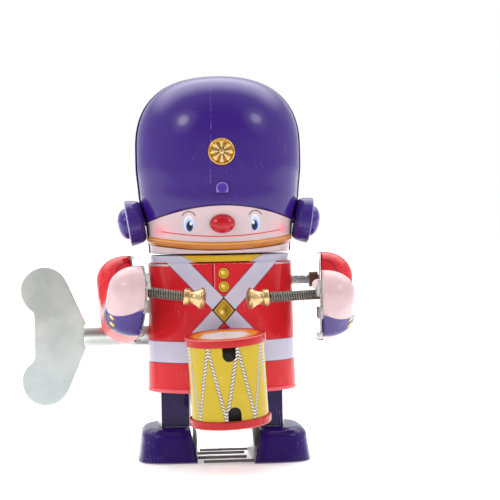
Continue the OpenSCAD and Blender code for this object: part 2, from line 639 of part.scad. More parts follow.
// Rounded shoe, drawn for the left side with its inner face at foot_in
module foot_slab(inset, z, h, grow_in, wide, shorter) translate([0, 0, z]) linear_extrude(h) hull()
    for (p = [[foot_l / 2 - 9 - shorter, 9], [-foot_l / 2 + 10.5 + shorter, 10.5]]) {
        translate([foot_in + wide - p[1], p[0]]) circle(p[1] - inset, $fn = 32);
        translate([foot_in - grow_in, p[0] - p[1] * 0.8 + inset]) square([1, p[1] * 1.6 - 2 * inset]);
    }
module foot_solid(inset, grow_in = 0) hull() {
    foot_slab(inset, inset > 0 ? -1 : 0, 1, grow_in, foot_w, 0);
    foot_slab(inset, foot_h * 0.55, 1, grow_in, foot_w - 0.8, 0.8);
    foot_slab(inset, foot_h * 0.85 - inset, 0.8, grow_in, foot_w - 1.9, 1.9);
    foot_slab(inset, foot_h - 0.2 - inset, 0.2, grow_in, foot_w - 4.6, 4.6);
}
module at_foot(side) at_axis() mirror([side < 0 ? 1 : 0, 0, 0]) translate([0, foot_front(side) + foot_l / 2, 0])
    children();
module foot_shell(side) color(tin_purple) at_foot(side) difference() {
    foot_solid(0);
    foot_solid(tin, 2);
}
// Bare side sheet with its sole flange, resting inside the shoe's rim
side_sheet_t = 0.6;
corner = 6;
module foot_plate(side) color(bare_tin) at_foot(side) {
    sole_l = foot_l - 7;
    low = -sole_l / 2 + 0.5;
    outwards(left, foot_in + 0.3, 0, 0, side_sheet_t) polygon([[low, 0], [low + sole_l, 0],
        [low + sole_l, foot_h * 0.5], [low + sole_l - corner, foot_h - 1.6], [low + corner, foot_h - 1.6],
        [low, foot_h * 0.5]]);
    translate([foot_in + 0.3, low, 0]) cube([foot_w - 5.5, sole_l, 0.5]);
}
wire_r = 0.65;
wire_z = 0.95;
wire_reach = 21;
left_wire_places = [-19.6, 17.5];
right_wire_places = [-7, 7];
// Two balancing wires that run inwards from the foot, the left pair outside the right pair
module foot_wires(side) color("gray") at_axis() for (y = side > 0 ? left_wire_places : right_wire_places)
    rod_x(side * (foot_in + 0.2), side * (foot_in - wire_reach), y, wire_z, wire_r);
module right_leg_channel() leg_channel(right);
module left_leg_channel() leg_channel(left);
module right_foot_shell() foot_shell(right);
module left_foot_shell() foot_shell(left);
module right_foot_plate() foot_plate(right);
module left_foot_plate() foot_plate(left);
module right_foot_wires() foot_wires(right);
module left_foot_wires() foot_wires(left);

body_shell();
top_plate();
base_plate();
head_front();
head_back();
head_bracket();
right_ear_cup();
left_ear_cup();
right_ear_cap();
left_ear_cap();
drum_shell();
drum_top();
drum_bottom();
drum_bracket();
right_frame_plate();
left_frame_plate();
frame_pillars();
hip_pins();
mainspring();
winding_key();
key_arbor();
great_wheel();
ratchet_wheel();
second_axle();
second_pinion();
second_wheel();
arm_cams();
crank_axle();
crank_pinion();
crank_discs();
escape_axle();
escape_pinion();
escape_wheel();
verge();
right_arm_shell();
right_arm_plate();
right_arm_axle();
right_arm_bush();
right_arm_lever();
right_stick_spring();
right_stick_tip();
left_arm_shell();
left_arm_plate();
left_arm_axle();
left_arm_bush();
left_arm_lever();
left_stick_spring();
left_stick_tip();
right_leg_channel();
right_foot_shell();
right_foot_plate();
right_foot_wires();
left_leg_channel();
left_foot_shell();
left_foot_plate();
left_foot_wires();
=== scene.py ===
import math

import bpy
from mathutils import Matrix, Vector


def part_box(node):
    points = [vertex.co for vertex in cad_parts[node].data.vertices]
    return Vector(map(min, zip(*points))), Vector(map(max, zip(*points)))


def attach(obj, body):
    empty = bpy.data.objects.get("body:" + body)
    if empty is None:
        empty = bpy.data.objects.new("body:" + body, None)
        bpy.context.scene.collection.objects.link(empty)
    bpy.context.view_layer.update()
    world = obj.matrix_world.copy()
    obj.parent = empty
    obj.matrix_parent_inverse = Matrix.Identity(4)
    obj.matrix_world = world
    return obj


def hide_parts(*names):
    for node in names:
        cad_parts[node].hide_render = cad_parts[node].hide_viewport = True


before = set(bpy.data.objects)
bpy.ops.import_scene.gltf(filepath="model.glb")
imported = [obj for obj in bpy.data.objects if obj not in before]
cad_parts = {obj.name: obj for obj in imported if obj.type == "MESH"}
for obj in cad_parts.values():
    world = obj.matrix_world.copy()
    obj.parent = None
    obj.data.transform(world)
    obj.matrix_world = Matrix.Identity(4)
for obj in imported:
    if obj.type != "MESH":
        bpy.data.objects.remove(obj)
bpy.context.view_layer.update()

# ---- the toy's own frame
# Pieces are drawn in millimetres about the toy's upright axis, on the floor, facing -Y.
MM = 0.001
head_low, head_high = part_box("head_front")
AXIS = Vector(((head_low.x + head_high.x) / 2, head_high.y, 0))
TO_ROW = Matrix.Translation(AXIS) @ Matrix.Scale(MM, 4)
RIGHT, LEFT = -1, 1
SIDES = {"right": RIGHT, "left": LEFT}


def clamp(t):
    return min(1.0, max(0.0, t))


def ease(t):
    """Soft start and end for a share from 0 to 1, of numbers and terms alike."""
    return t * t * (3 - 2 * t)


def smooth(t):
    return ease(clamp(t))


def mirrored(side):
    return Matrix.Scale(-1, 4, (1, 0, 0)) if side < 0 else Matrix.Identity(4)


# ---- mesh helpers
def add(name, data):
    """Puts a mesh, lamp or camera into the scene."""
    obj = bpy.data.objects.new(name, data)
    bpy.context.scene.collection.objects.link(obj)
    return obj


def write_place(mesh, points):
    """Keeps the drawn place of every point on the mesh, as the attribute 'local'."""
    local = mesh.attributes.get("local") or mesh.attributes.new("local", "FLOAT_VECTOR", "POINT")
    local.data.foreach_set("vector", [c for point in points for c in point])


def piece(name, body, shape, material, replaces=(), place=Matrix.Identity(4), sharp=35):
    """A mesh piece drawn in its own millimetres."""
    verts, faces = shape
    mesh = bpy.data.meshes.new(name)
    to_row = TO_ROW @ place
    mesh.from_pydata([to_row @ Vector(v) for v in verts], [], faces)
    write_place(mesh, verts)
    for m in material if isinstance(material, (list, tuple)) else [material]:
        mesh.materials.append(m)
    mesh.validate()
    mesh.shade_smooth()
    mesh.set_sharp_from_angle(angle=math.radians(sharp))
    obj = add(name, mesh)
    if to_row.determinant() < 0:
        mesh.flip_normals()
    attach(obj, body)
    if replaces:
        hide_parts(*replaces)
    return obj


def grid_faces(rows, columns, closed=False):
    """Quads over a grid of rows x columns points, the columns closed into a ring or open."""
    last = columns if closed else columns - 1
    return [(r * columns + c, r * columns + (c + 1) % columns,
             (r + 1) * columns + (c + 1) % columns, (r + 1) * columns + c)
            for r in range(rows - 1) for c in range(last)]


def slab_faces(n, first=0):
    """Faces of a closed slab: n points on one side, then the same n on the other."""
    near, far = [first + k for k in range(n)], [first + n + k for k in range(n)]
    sides = [[near[k], far[k], far[(k + 1) % n], near[(k + 1) % n]] for k in range(n)]
    return [near, far[::-1]] + sides


def lathe(profile, steps=64):
    """Turns a profile of (radius, height) points about +Z; points close to the axis close the shape."""
    verts = [(r * math.cos(2 * math.pi * k / steps), r * math.sin(2 * math.pi * k / steps), z)
             for r, z in profile for k in range(steps)]
    faces = grid_faces(len(profile), steps, closed=True)
    return verts, faces


def arc(cx, cz, r, start, end, steps=6, rise=None):
    """Points of a round stretch of a profile, angles in degrees; rise is the upright radius of an oval."""
    turns = [math.radians(start + (end - start) * k / steps) for k in range(steps + 1)]
    return [(cx + r * math.cos(a), cz + (rise or r) * math.sin(a)) for a in turns]


def solid_sheet(obj, thickness, inner_slot=0, rim_slot=0):
    """Gives a surface the thickness of tinplate, inwards from what is drawn."""
    mod = obj.modifiers.new("tin", "SOLIDIFY")
    mod.thickness = thickness * MM
    mod.offset = -1
    mod.use_even_offset = True
    mod.material_offset = inner_slot
    mod.material_offset_rim = rim_slot


def bevel(obj, width, segments=3):
    mod = obj.modifiers.new("edge", "BEVEL")
    mod.width = width * MM
    mod.segments = segments
    mod.limit_method = "ANGLE"
    mod.angle_limit = math.radians(40)


def tube(path, radius, sides=10):
    """A round wire along a list of points, closed at both ends."""
    verts = []
    normal = None
    for i, p in enumerate(path):
        ahead = Vector(path[min(i + 1, len(path) - 1)]) - Vector(path[max(i - 1, 0)])
        ahead.normalize()
        if normal is None:
            normal = ahead.orthogonal().normalized()
        normal = (normal - ahead * normal.dot(ahead)).normalized()
        side = ahead.cross(normal)
        for k in range(sides):
            a = 2 * math.pi * k / sides
            verts.append(tuple(Vector(p) + radius * (math.cos(a) * normal + math.sin(a) * side)))
    ends = [range(sides - 1, -1, -1), range((len(path) - 1) * sides, len(path) * sides)]
    return verts, grid_faces(len(path), sides, closed=True) + [tuple(end) for end in ends]


# ---- material helpers
class Term:
    """A number inside a node tree. Arithmetic on terms adds Math nodes."""

    def __init__(self, tree, value):
        self.tree, self.value = tree, value

    def op(self, name, *others):
        node = self.tree.nodes.new("ShaderNodeMath")
        node.operation = name
        for socket, item in zip(node.inputs, (self, *others)):
            value = item.value if isinstance(item, Term) else item
            if isinstance(value, (int, float)):
                socket.default_value = value
            else:
                self.tree.links.new(value, socket)
        return Term(self.tree, node.outputs[0])

    def __add__(self, other): return self.op("ADD", other)
    def __sub__(self, other): return self.op("SUBTRACT", other)
    def __rsub__(self, other): return Term(self.tree, other).op("SUBTRACT", self)
    def __mul__(self, other): return self.op("MULTIPLY", other)
    def __rmul__(self, other): return self.op("MULTIPLY", other)
    def __truediv__(self, other): return self.op("DIVIDE", other)
    def __neg__(self): return self.op("MULTIPLY", -1.0)
    def abs(self): return self.op("ABSOLUTE")
    def sqrt(self): return self.op("SQRT")
    def min(self, other): return self.op("MINIMUM", other)
    def max(self, other): return self.op("MAXIMUM", other)
    def clamp(self): return self.max(0.0).min(1.0)


def node_of(tree, kind):
    return next(n for n in tree.nodes if n.type == kind)


def coordinates(tree, socket):
    """The three parts of a vector socket, as terms."""
    split = tree.nodes.new("ShaderNodeSeparateXYZ")
    tree.links.new(socket, split.inputs[0])
    return [Term(tree, part) for part in split.outputs]


PRINT_EDGE = 0.13        # how soft a printed edge is, in millimetres


def inside(distance, soft=PRINT_EDGE):
    """Mask that is 1 where a distance in millimetres is below zero."""
    return (0.5 - distance * (1 / soft)).clamp()


def disc(u, v, cu, cv, ru, rv=None):
    """Distance-like value of an ellipse, true for a circle."""
    rv = rv or ru
    du, dv = (u - cu) * (1 / ru), (v - cv) * (1 / rv)
    return ((du * du + dv * dv).sqrt() - 1.0) * min(ru, rv)


def stroke(u, v, u0, v0, u1, v1, half):
    """Distance from a straight stroke of the given half-width."""
    du, dv = u1 - u0, v1 - v0
    length = math.hypot(du, dv)
    along = ((u - u0) * (du / length) + (v - v0) * (dv / length)).max(0.0).min(length)
    eu, ev = u - u0 - along * (du / length), v - v0 - along * (dv / length)
    return (eu * eu + ev * ev).sqrt() - half


LACQUER, LACQUER_IOR = 0.55, 1.6     # strength and refraction of the clear coat at coat=1


class Finish:
    """A material under way: place terms in millimetres, printed layers, and a Principled shader."""

    def __init__(self, name, color, roughness=0.3, metallic=0.0, coat=0.0, coat_roughness=0.06):
        self.material = bpy.data.materials.new(name)
        self.material.use_nodes = True
        self.tree = self.material.node_tree
        self.shader = node_of(self.tree, "BSDF_PRINCIPLED")
        self.shader.inputs["Metallic"].default_value = metallic
        self.shader.inputs["Roughness"].default_value = roughness
        self.shader.inputs["Coat Weight"].default_value = coat * LACQUER
        self.shader.inputs["Coat Roughness"].default_value = coat_roughness
        if coat:
            self.shader.inputs["Coat IOR"].default_value = LACQUER_IOR
            self.shader.inputs["Specular IOR Level"].default_value = 0.05
        self.roughness = roughness
        attribute = self.tree.nodes.new("ShaderNodeAttribute")
        attribute.attribute_name = "local"
        self.place = attribute.outputs["Vector"]
        self.x, self.y, self.z = coordinates(self.tree, self.place)
        self.color = self._rgb(color)

    def use_object_space(self):
        """For carried CAD nodes, which have no drawn place: millimetres in the row frame."""
        coord = self.tree.nodes.new("ShaderNodeTexCoord")
        scale = self.tree.nodes.new("ShaderNodeVectorMath")
        scale.operation = "SCALE"
        scale.inputs["Scale"].default_value = 1 / MM
        self.tree.links.new(coord.outputs["Object"], scale.inputs[0])
        self.place = scale.outputs[0]
        self.x, self.y, self.z = coordinates(self.tree, self.place)
        return self

    def _rgb(self, color):
        node = self.tree.nodes.new("ShaderNodeRGB")
        node.outputs[0].default_value = (*linear(color), 1)
        return node.outputs[0]

    def paint(self, color, mask):
        """Prints a colour over what is there, where the mask is 1."""
        mix = self.tree.nodes.new("ShaderNodeMix")
        mix.data_type = "RGBA"
        self.tree.links.new(mask.value, mix.inputs["Factor"])
        self.tree.links.new(self.color, mix.inputs[6])
        mix.inputs[7].default_value = (*linear(color), 1)
        self.color = mix.outputs[2]
        return self

    def noise(self, scale, detail=3.0, stretch=(1, 1, 1), roughness=0.55):
        """Noise from 0 to 1 whose features are about 1/scale millimetres wide."""
        mapping = self.tree.nodes.new("ShaderNodeMapping")
        mapping.inputs["Scale"].default_value = stretch
        self.tree.links.new(self.place, mapping.inputs["Vector"])
        node = self.tree.nodes.new("ShaderNodeTexNoise")
        node.inputs["Scale"].default_value = scale
        node.inputs["Detail"].default_value = detail
        node.inputs["Roughness"].default_value = roughness
        self.tree.links.new(mapping.outputs[0], node.inputs["Vector"])
        return Term(self.tree, node.outputs["Fac"])

    def scratches(self, color, amount=1.0):
        """A few fine scuffs where the print is rubbed."""
        long = self.noise(1.0, 2.0, (0.9, 0.9, 0.06))
        short = self.noise(0.8, 4.0, (0.12, 0.12, 1.1))
        lines = inside((long - 0.5).abs() - 0.0035, 0.006) * inside(0.6 - self.noise(0.09, 1.0), 0.08)
        flecks = inside(0.725 - short, 0.02) * inside(0.55 - self.noise(0.15, 1.0), 0.1)
        return self.paint(color, (lines * 0.55 + flecks * 0.4) * amount)

    def finish(self, bump=0.004, bump_scale=0.35, rough_swing=0.08):
        """Ties up colour, roughness and the faint waviness of pressed tin."""
        tint = self.noise(0.22, 4.0)
        hue = self.tree.nodes.new("ShaderNodeHueSaturation")
        self.tree.links.new((tint * 0.10 + 0.95).value, hue.inputs["Value"])
        self.tree.links.new(self.color, hue.inputs["Color"])
        self.tree.links.new(hue.outputs[0], self.shader.inputs["Base Color"])
        rough = self.noise(0.5, 5.0) * rough_swing + (self.roughness - rough_swing / 2)
        self.tree.links.new(rough.value, self.shader.inputs["Roughness"])
        wave = self.noise(bump_scale, 2.0)
        node = self.tree.nodes.new("ShaderNodeBump")
        node.inputs["Distance"].default_value = bump * 0.1
        node.inputs["Strength"].default_value = 0.6
        self.tree.links.new(wave.value, node.inputs["Height"])
        self.tree.links.new(node.outputs[0], self.shader.inputs["Normal"])
        return self.material


def linear(color):
    """sRGB 0-255 to linear 0-1."""
    return tuple(c / 255 / 12.92 if c <= 10 else ((c / 255 + 0.055) / 1.055) ** 2.4 for c in color)


# Printed inks, as sRGB
RED = (196, 20, 32)
# the pale red of the next line is a painted highlight on the rolled hem, not an ink
HEM_HIGHLIGHT_RED = (222, 96, 104)
PURPLE = (50, 22, 112)
DARK_PURPLE = (38, 20, 92)
WHITE_INK = (192, 188, 208)
YELLOW = (212, 170, 44)
GOLD_INK = (196, 156, 36)
SKIN = (202, 180, 184)
BLACK_INK = (24, 18, 20)
BROWN_STRAP = (180, 108, 40)
PURPLE_WEAR = (150, 130, 200)
EAR_WEAR = (170, 150, 210)
RIM_RED = (174, 19, 27)
RIM_LINE = (236, 150, 140)
RED_WEAR = (240, 200, 190)


def bare_metal(name, color, roughness=0.28, brush=(1, 1, 1), use_object=False, bump=0.006, stain_depth=0.35):
    """Bare sheet or wire with fine brushing and faint stains."""
    f = Finish(name, color, roughness=roughness, metallic=1.0)
    if use_object:
        f.use_object_space()
    fine = f.noise(2.2, 4.0, brush)
    f.paint(tuple(c * 0.72 for c in color), inside(0.47 - fine, 0.25) * 0.45)
    stain = f.noise(0.12, 3.0)
    f.paint(tuple(c * 0.6 for c in color), inside(0.6 - stain, 0.15) * stain_depth)
    return f.finish(bump=bump, bump_scale=1.4, rough_swing=0.16)


# ---- body tube
BODY_LOW, SHOULDER, NECK_TOP = 30.0, 85.2, 88.3
HEM_W, HEM_D = 32.15, 23.9          # half-width and half-depth of the oval at the hem
TIN = 0.45


def body_half(z):
    """Half-width and half-depth of the oval tube, which tapers a little upwards."""
    up = (z - BODY_LOW) / (NECK_TOP - BODY_LOW)
    return HEM_W - 0.8 * up, HEM_D - 0.5 * up


def make_jacket():
    # rows of (height, inset): rolled hem, plain wall, rounded shoulder and neck band
    hem = [(30.0, 0.6), (30.02, 0.3), (30.2, 0.08), (30.6, 0.0), (31.0, 0.05), (31.3, 0.2), (31.7, 0.25)]
    wall = [(32.5 + 2.55 * k, 0.25) for k in range(21)]
    shoulder = [(z, -x) for x, z in arc(-1.35, SHOULDER - 1.1, 1.1, 0, 90, 7)]
    neck = [(SHOULDER + 0.05, 1.5), (SHOULDER + 0.5, 1.5), (86.9, 1.45), (88.0, 1.45), (NECK_TOP, 1.6)]
    rows = hem + wall + shoulder + neck
    columns = 200
    verts = []
    for z, inset in rows:
        w, d = body_half(z)
        verts += [(x, y, z) for x, y in arc(0, 0, w - inset, 0, 360 - 360 / columns, columns - 1, d - inset)]
    faces = grid_faces(len(rows), columns, closed=True)
    jacket = piece("jacket", "body", (verts, faces), [jacket_print(), plain_tin],
                   replaces=["body_shell"])
    solid_sheet(jacket, TIN, inner_slot=1)


BUTTONS_Z, BUTTON_X = (80.6, 75.0), 0.2
CROSSING_Z, BELT_HALF = 65.0, 3.35
BELT_TOP, BELT_FOOT = (21.7, 23.4), (13.8, 14.4)     # ends of a cross belt, from the crossing
WAIST_Z, WAIST_HALF = 47.4, 4.4
COLLAR_HALF = 11.4


def paint_belt(f, belt, stitch):
    """White belt with a dark edge; belt is the distance from its edge, stitch how far in its line runs."""
    f.paint((70, 60, 90), inside(belt - 0.28))
    f.paint(WHITE_INK, inside(belt))
    f.paint((196, 196, 222), inside((belt + stitch).abs() - 0.16) * 0.7)


def jacket_print():
    f = Finish("litho_jacket", RED, roughness=0.24, coat=0.45)
    x, y, z = f.x, f.y, f.z
    f.paint((222, 50, 56), f.noise(0.05, 2.0) * 0.5)
    front = inside(y)
    # centre edge of the coat and its two buttons
    f.paint(BLACK_INK, inside((x + 4.3).abs() - 0.22) * front * inside(53 - z))
    f.paint((232, 120, 120), inside((x + 3.7).abs() - 0.2) * front * inside(53 - z))
    for button_z in BUTTONS_Z:
        f.paint(BLACK_INK, inside(disc(x, z, BUTTON_X, button_z, 2.45)) * front)
        f.paint(YELLOW, inside(disc(x, z, BUTTON_X, button_z, 2.2)) * front)
        f.paint((120, 86, 20), inside(disc(x, z, BUTTON_X, button_z, 1.45).abs() - 0.16) * front)
        # painted highlight: a small pale spot at the upper left of each button
        f.paint((244, 222, 120), inside(disc(x, z, BUTTON_X - 0.5, button_z + 0.4, 0.6), 0.7) * front)
    # cross belts, front and back; the belts sit a little lower towards the back
    sag = y.max(0.0) * 0.06
    for lean in (-1, 1):
        belt = stroke(x, z + sag, lean * BELT_TOP[0], CROSSING_Z + BELT_TOP[1],
                      -lean * BELT_FOOT[0], CROSSING_Z - BELT_FOOT[1], BELT_HALF)
        paint_belt(f, belt, 0.8)
    paint_belt(f, (z + sag - WAIST_Z).abs() - WAIST_HALF - sag * 0.4, 0.9)
    # belt plate where the belts cross
    diamond = (x.abs() * (1 / 5.0) + (z - CROSSING_Z).abs() * (1 / 5.7) - 1.0) * 3.6
    f.paint(BLACK_INK, inside(diamond) * front)
    f.paint(GOLD_INK, inside(diamond + 0.55) * front)
    f.paint((120, 90, 20), inside((diamond + 1.4).abs() - 0.14) * front)
    f.paint((96, 62, 16), inside(disc(x, z, 0.9, CROSSING_Z + 0.2, 1.2, 1.8), 1.6) * front * 0.7)
    # painted highlight: a small pale spot on the belt plate, low on its left
    f.paint((246, 228, 130), inside(disc(x, z, -0.9, CROSSING_Z - 0.7, 0.8), 0.9) * front)
    # neck band: yellow collar between white sides, dark line beneath
    neck = inside(SHOULDER + 0.1 - z)
    f.paint(WHITE_INK, neck)
    collar = x.abs() - COLLAR_HALF - (z - SHOULDER) * 1.9
    f.paint(YELLOW, neck * inside(collar, 0.3))
    f.paint((90, 60, 20), neck * inside((collar - 0.2).abs() - 0.22) * 0.6)
    f.paint(BLACK_INK, inside((z - SHOULDER - 0.1).abs() - 0.24) * inside(x.abs() - COLLAR_HALF))
    # painted highlight: a pale red band along the rolled hem
    f.paint(HEM_HIGHLIGHT_RED, inside(z - 31.5, 0.3))
    f.scratches((236, 200, 200), 0.6)
    return f.finish(bump=0.006, bump_scale=0.12)


# ---- head
CHIN, DOME, CROWN = 89.0, 133.0, 165.0
DOME_POWER = 2.45
EAR_X, EAR_Z = 32.8, 103.0
HALF_FACE = 31.0                    # where the rises and falls across the head are counted
ARC_MID, ARC_FALL = 109.5, 6.6      # lower edge of the hat: height in the middle, fall at the sides
STRAP_MID, STRAP_RISE, STRAP_HALF = 92.2, 2.7, 1.75
FRONT_W, BACK_W, HEAD_D = 35.2, 35.75, 27.9
NOSE_Z, TAB_Z = 101.5, 114.2


def head_share(z):
    """Width of the head at height z, as a share of its greatest width."""
    if z >= DOME:
        return max(0.0, 1 - ((z - DOME) / (CROWN - DOME)) ** DOME_POWER) ** (1 / DOME_POWER)
    jaw = 0.05 * max(0.0, (108 - z) / 19)
    return 1 - 0.03 * smooth((127 - z) / 14) - 0.045 * smooth((115 - z) / 12) - jaw


def hat_height(x, z):
    """Height above the hat's lower edge, of numbers and terms alike."""
    return z - ARC_MID + x * x * (ARC_FALL / HALF_FACE ** 2)


def strap_height(x, z):
    """Height above the middle of the chin strap."""
    return z - STRAP_MID - x * x * (STRAP_RISE / HALF_FACE ** 2)


def head_rows():
    """Nominal heights: close together over the face, then round the dome."""
    rows = [CHIN, CHIN + 0.2, CHIN + 0.5]
    rows += [CHIN + 1 + 0.5 * k for k in range(58)]
    rows += [119 + 1.4 * k for k in range(10)]
    steps = 34
    turns = [math.sin(math.pi / 2 * k / steps) for k in range(1, steps + 1)]
    return rows + [DOME + (CROWN - DOME) * turn ** (2 / DOME_POWER) for turn in turns]


def head_surface(s, a, half_w, relief):
    """A point of a head half: nominal height s, angle a round from +X, relief(x, z) outwards."""
    up = smooth((s - CHIN) / (ARC_MID - CHIN)) if s < ARC_MID else 1 - smooth((s - ARC_MID) / 20)
    z = s - ARC_FALL * up * (head_share(s) * half_w * math.cos(a) / HALF_FACE) ** 2
    w, d = head_share(z) * half_w, head_share(z) * HEAD_D
    out = relief(w * math.cos(a), z) if z < 130 else 0.0
    out -= 0.42 * (1 - smooth((s - CHIN) / 0.5))
    return (w + out) * math.cos(a), (d + out) * math.sin(a), z


def hat_step(x, z):
    """The hat stands a little over the face and the back of the head."""
    return 0.75 * smooth(hat_height(x, z) / 0.9 + 0.5) - 0.75


def face_relief(x, z):
    """Hat edge standing over the face, the raised chin strap and soft cheeks, in millimetres outwards."""
    t = abs(strap_height(x, z)) / STRAP_HALF
    strap = 0.75 * math.sqrt(max(0.0, 1 - t * t)) if t < 1 else 0.0
    cheek = 0.5 * math.exp(-((abs(x) - 22) ** 2 + (z - 99.5) ** 2) / 30)
    return hat_step(x, z) + strap + cheek


def make_head():
    rows = head_rows()
    columns = 150
    sweep = [math.radians(180 * k / (columns - 1)) for k in range(columns)]
    verts = [head_surface(s, a - math.pi, FRONT_W, face_relief) for s in rows for a in sweep]
    front = piece("head_front_tin", "body", (verts, grid_faces(len(rows), columns)),
                  [face_print(), plain_tin], replaces=["head_front"], sharp=50)
    solid_sheet(front, TIN, inner_slot=1, rim_slot=1)
    # the rear half reaches a little past the seam, round the outside of the front half
    lip = [0.9, 0.45]
    verts = []
    for s in rows:
        line = [head_surface(s, a, BACK_W, hat_step) for a in sweep]
        (left_x, _, left_z), (right_x, _, right_z) = line[0], line[-1]
        verts += [(left_x, -d, left_z) for d in lip] + line + [(right_x, -d, right_z) for d in reversed(lip)]
    faces = grid_faces(len(rows), columns + 2 * len(lip))
    back = piece("head_back_tin", "body", (verts, faces), [hat_print(), plain_tin],
                 replaces=["head_back"], sharp=50)
    solid_sheet(back, TIN * 0.8, inner_slot=1)


def hat_print():
    f = Finish("litho_hat", PURPLE, roughness=0.24, coat=0.85, coat_roughness=0.15)
    f.paint(DARK_PURPLE, inside(f.z - 112, 26) * 0.5)
    f.scratches(PURPLE_WEAR, 0.7)
    return f.finish(bump=0.004, bump_scale=0.1, rough_swing=0.05)


def face_print():
    f = Finish("litho_face", SKIN, roughness=0.24, coat=0.85, coat_roughness=0.15)
    x, z = f.x, f.z
    ax = x.abs()
    # soft shading of the cheeks and under the hat
    f.paint((218, 168, 172), inside(disc(ax, z, 25.0, 99.0, 4.4, 4.0), 4.5) * 0.7)
    f.paint((206, 176, 180), inside(-hat_height(x, z) - 2.2, 3.5) * 0.5)
    # eyes
    f.paint((226, 224, 238), inside(disc(ax, z, 14.0, 101.7, 2.05, 3.5), 0.35))
    f.paint((160, 192, 226), inside(disc(ax, z, 13.9, 101.2, 1.9, 2.9), 0.8) * 0.85)
    f.paint((26, 40, 104), inside(disc(ax, z, 13.7, 100.6, 1.4, 2.2), 0.35))
    f.paint((8, 10, 34), inside(disc(ax, z, 13.6, 100.6, 0.75, 1.4), 0.35))
    f.paint((240, 246, 255), inside(disc(ax, z, 13.1, 101.8, 0.55, 0.7), 0.3))
    # eyebrows: small dark arcs close over the eyes
    brow = disc(ax, z, 14.0, 103.9, 2.9, 2.9).abs() - 0.2
    f.paint((52, 40, 60), inside(brow) * inside(104.9 - z, 0.5))
    # smile: a thin red line that ends in the blush of the cheeks
    smile = (z - 96.2 - x * x * (2.3 / 625)).abs() - 0.24
    f.paint((236, 130, 140), inside(disc(ax, z, 26.0, 98.8, 1.7, 1.7), 2.8) * 0.8)
    f.paint((200, 44, 56), inside(smile) * inside(ax - 25.4, 0.6))
    # chin strap and its dark lower line
    down = strap_height(x, z)
    f.paint((96, 48, 20), inside((down + 0.25).abs() - STRAP_HALF - 0.05))
    f.paint(BROWN_STRAP, inside(down.abs() - STRAP_HALF + 0.2))
    # painted highlight: a light band along the upper half of the raised chin strap
    f.paint((224, 160, 84), inside((down - 0.7).abs() - 0.34, 0.5) * 0.8)
    # hat above its curved edge
    above = hat_height(x, z)
    f.paint((24, 12, 50), inside(-above - 0.45))
    f.paint(PURPLE, inside(-above))
    f.paint((22, 12, 44), inside((z - 114.0).abs() - 0.32) * inside(ax - 3.2))
    f.scratches(PURPLE_WEAR, 0.55)
    # one long fine scratch down the hat
    line = inside((x + 4.6 - (z - 130) * 0.03).abs() - 0.10, 0.1) * inside(118.0 - z) * inside(z - 160.0)
    f.paint((170, 150, 210), line * inside(0.55 - f.noise(0.6, 2.0), 0.2) * 0.5)
    return f.finish(bump=0.004, bump_scale=0.1, rough_swing=0.05)


def make_nose():
    """Glossy red pressed boss, a flattened half ball."""
    verts, faces = lathe([(1.04, -0.35)] + arc(0, 0, 1, 0, 80, 10) + [(0.0, 1.0)], 48)
    y = -HEAD_D * head_share(101.6) + 0.55
    verts = [(u * 5.3, y - w * 3.0, NOSE_Z + v * 4.0) for u, v, w in verts]
    f = Finish("nose_red", (178, 14, 28), roughness=0.12, coat=1.0, coat_roughness=0.02)
    f.paint((120, 8, 22), inside(disc(f.x, f.z, 0, NOSE_Z, 5.1, 3.8) * -1.0, 0.5) * 0.6)
    piece("nose", "body", (verts, faces), f.finish(bump=0.003))


def make_badge():
    """Round gilt rosette on the hat: a raised rim, eight petals and a centre boss."""
    centre_z, radius, rings, steps = 131.6, 5.75, 22, 160
    verts = []
    for ring in range(rings + 1):
        r = radius * ring / rings
        for k in range(steps):
            a = 2 * math.pi * k / steps
            u, v = r * math.cos(a), r * math.sin(a)
            petal = abs(math.cos(4 * a))
            height = 0.22 + 0.3 * smooth((petal * 4.6 - abs(r - 2.6) - r * 0.35) / 1.4)
            height += 0.32 * math.exp(-((r - 5.15) / 0.36) ** 2) + 0.42 * math.exp(-(r / 0.95) ** 2)
            height *= smooth((radius - r) / 0.25)
            z = centre_z + v
            w, d = head_share(z) * FRONT_W, head_share(z) * HEAD_D
            verts.append((u, -d * math.sqrt(1 - (u / w) ** 2) - height - 0.02, z))
    faces = grid_faces(rings + 1, steps, closed=True)
    f = Finish("badge_gilt", (214, 164, 74), roughness=0.26, metallic=0.8, coat=0.4)
    u, v = f.x, f.z - centre_z
    r = (u * u + v * v).sqrt()
    angle = v.op("ARCTAN2", u)
    star = (angle * 4).op("COSINE").abs()
    f.paint((168, 112, 34), inside(star - 0.5, 0.3) * inside(r - 4.6))
    f.paint((246, 226, 176), inside(0.86 - star, 0.14) * inside(r - 4.2))
    f.paint((58, 36, 18), inside((star - 0.62).abs() - 0.05, 0.08) * inside(r - 4.0) * inside(1.4 - r))
    f.paint((110, 66, 22), inside((r - 4.85).abs() - 0.12))
    f.paint((70, 44, 20), inside((r - 1.35).abs() - 0.12))
    f.paint((92, 56, 30), inside(5.55 - r))
    piece("hat_badge", "body", (verts, faces), f.finish(bump=0.002), sharp=60)


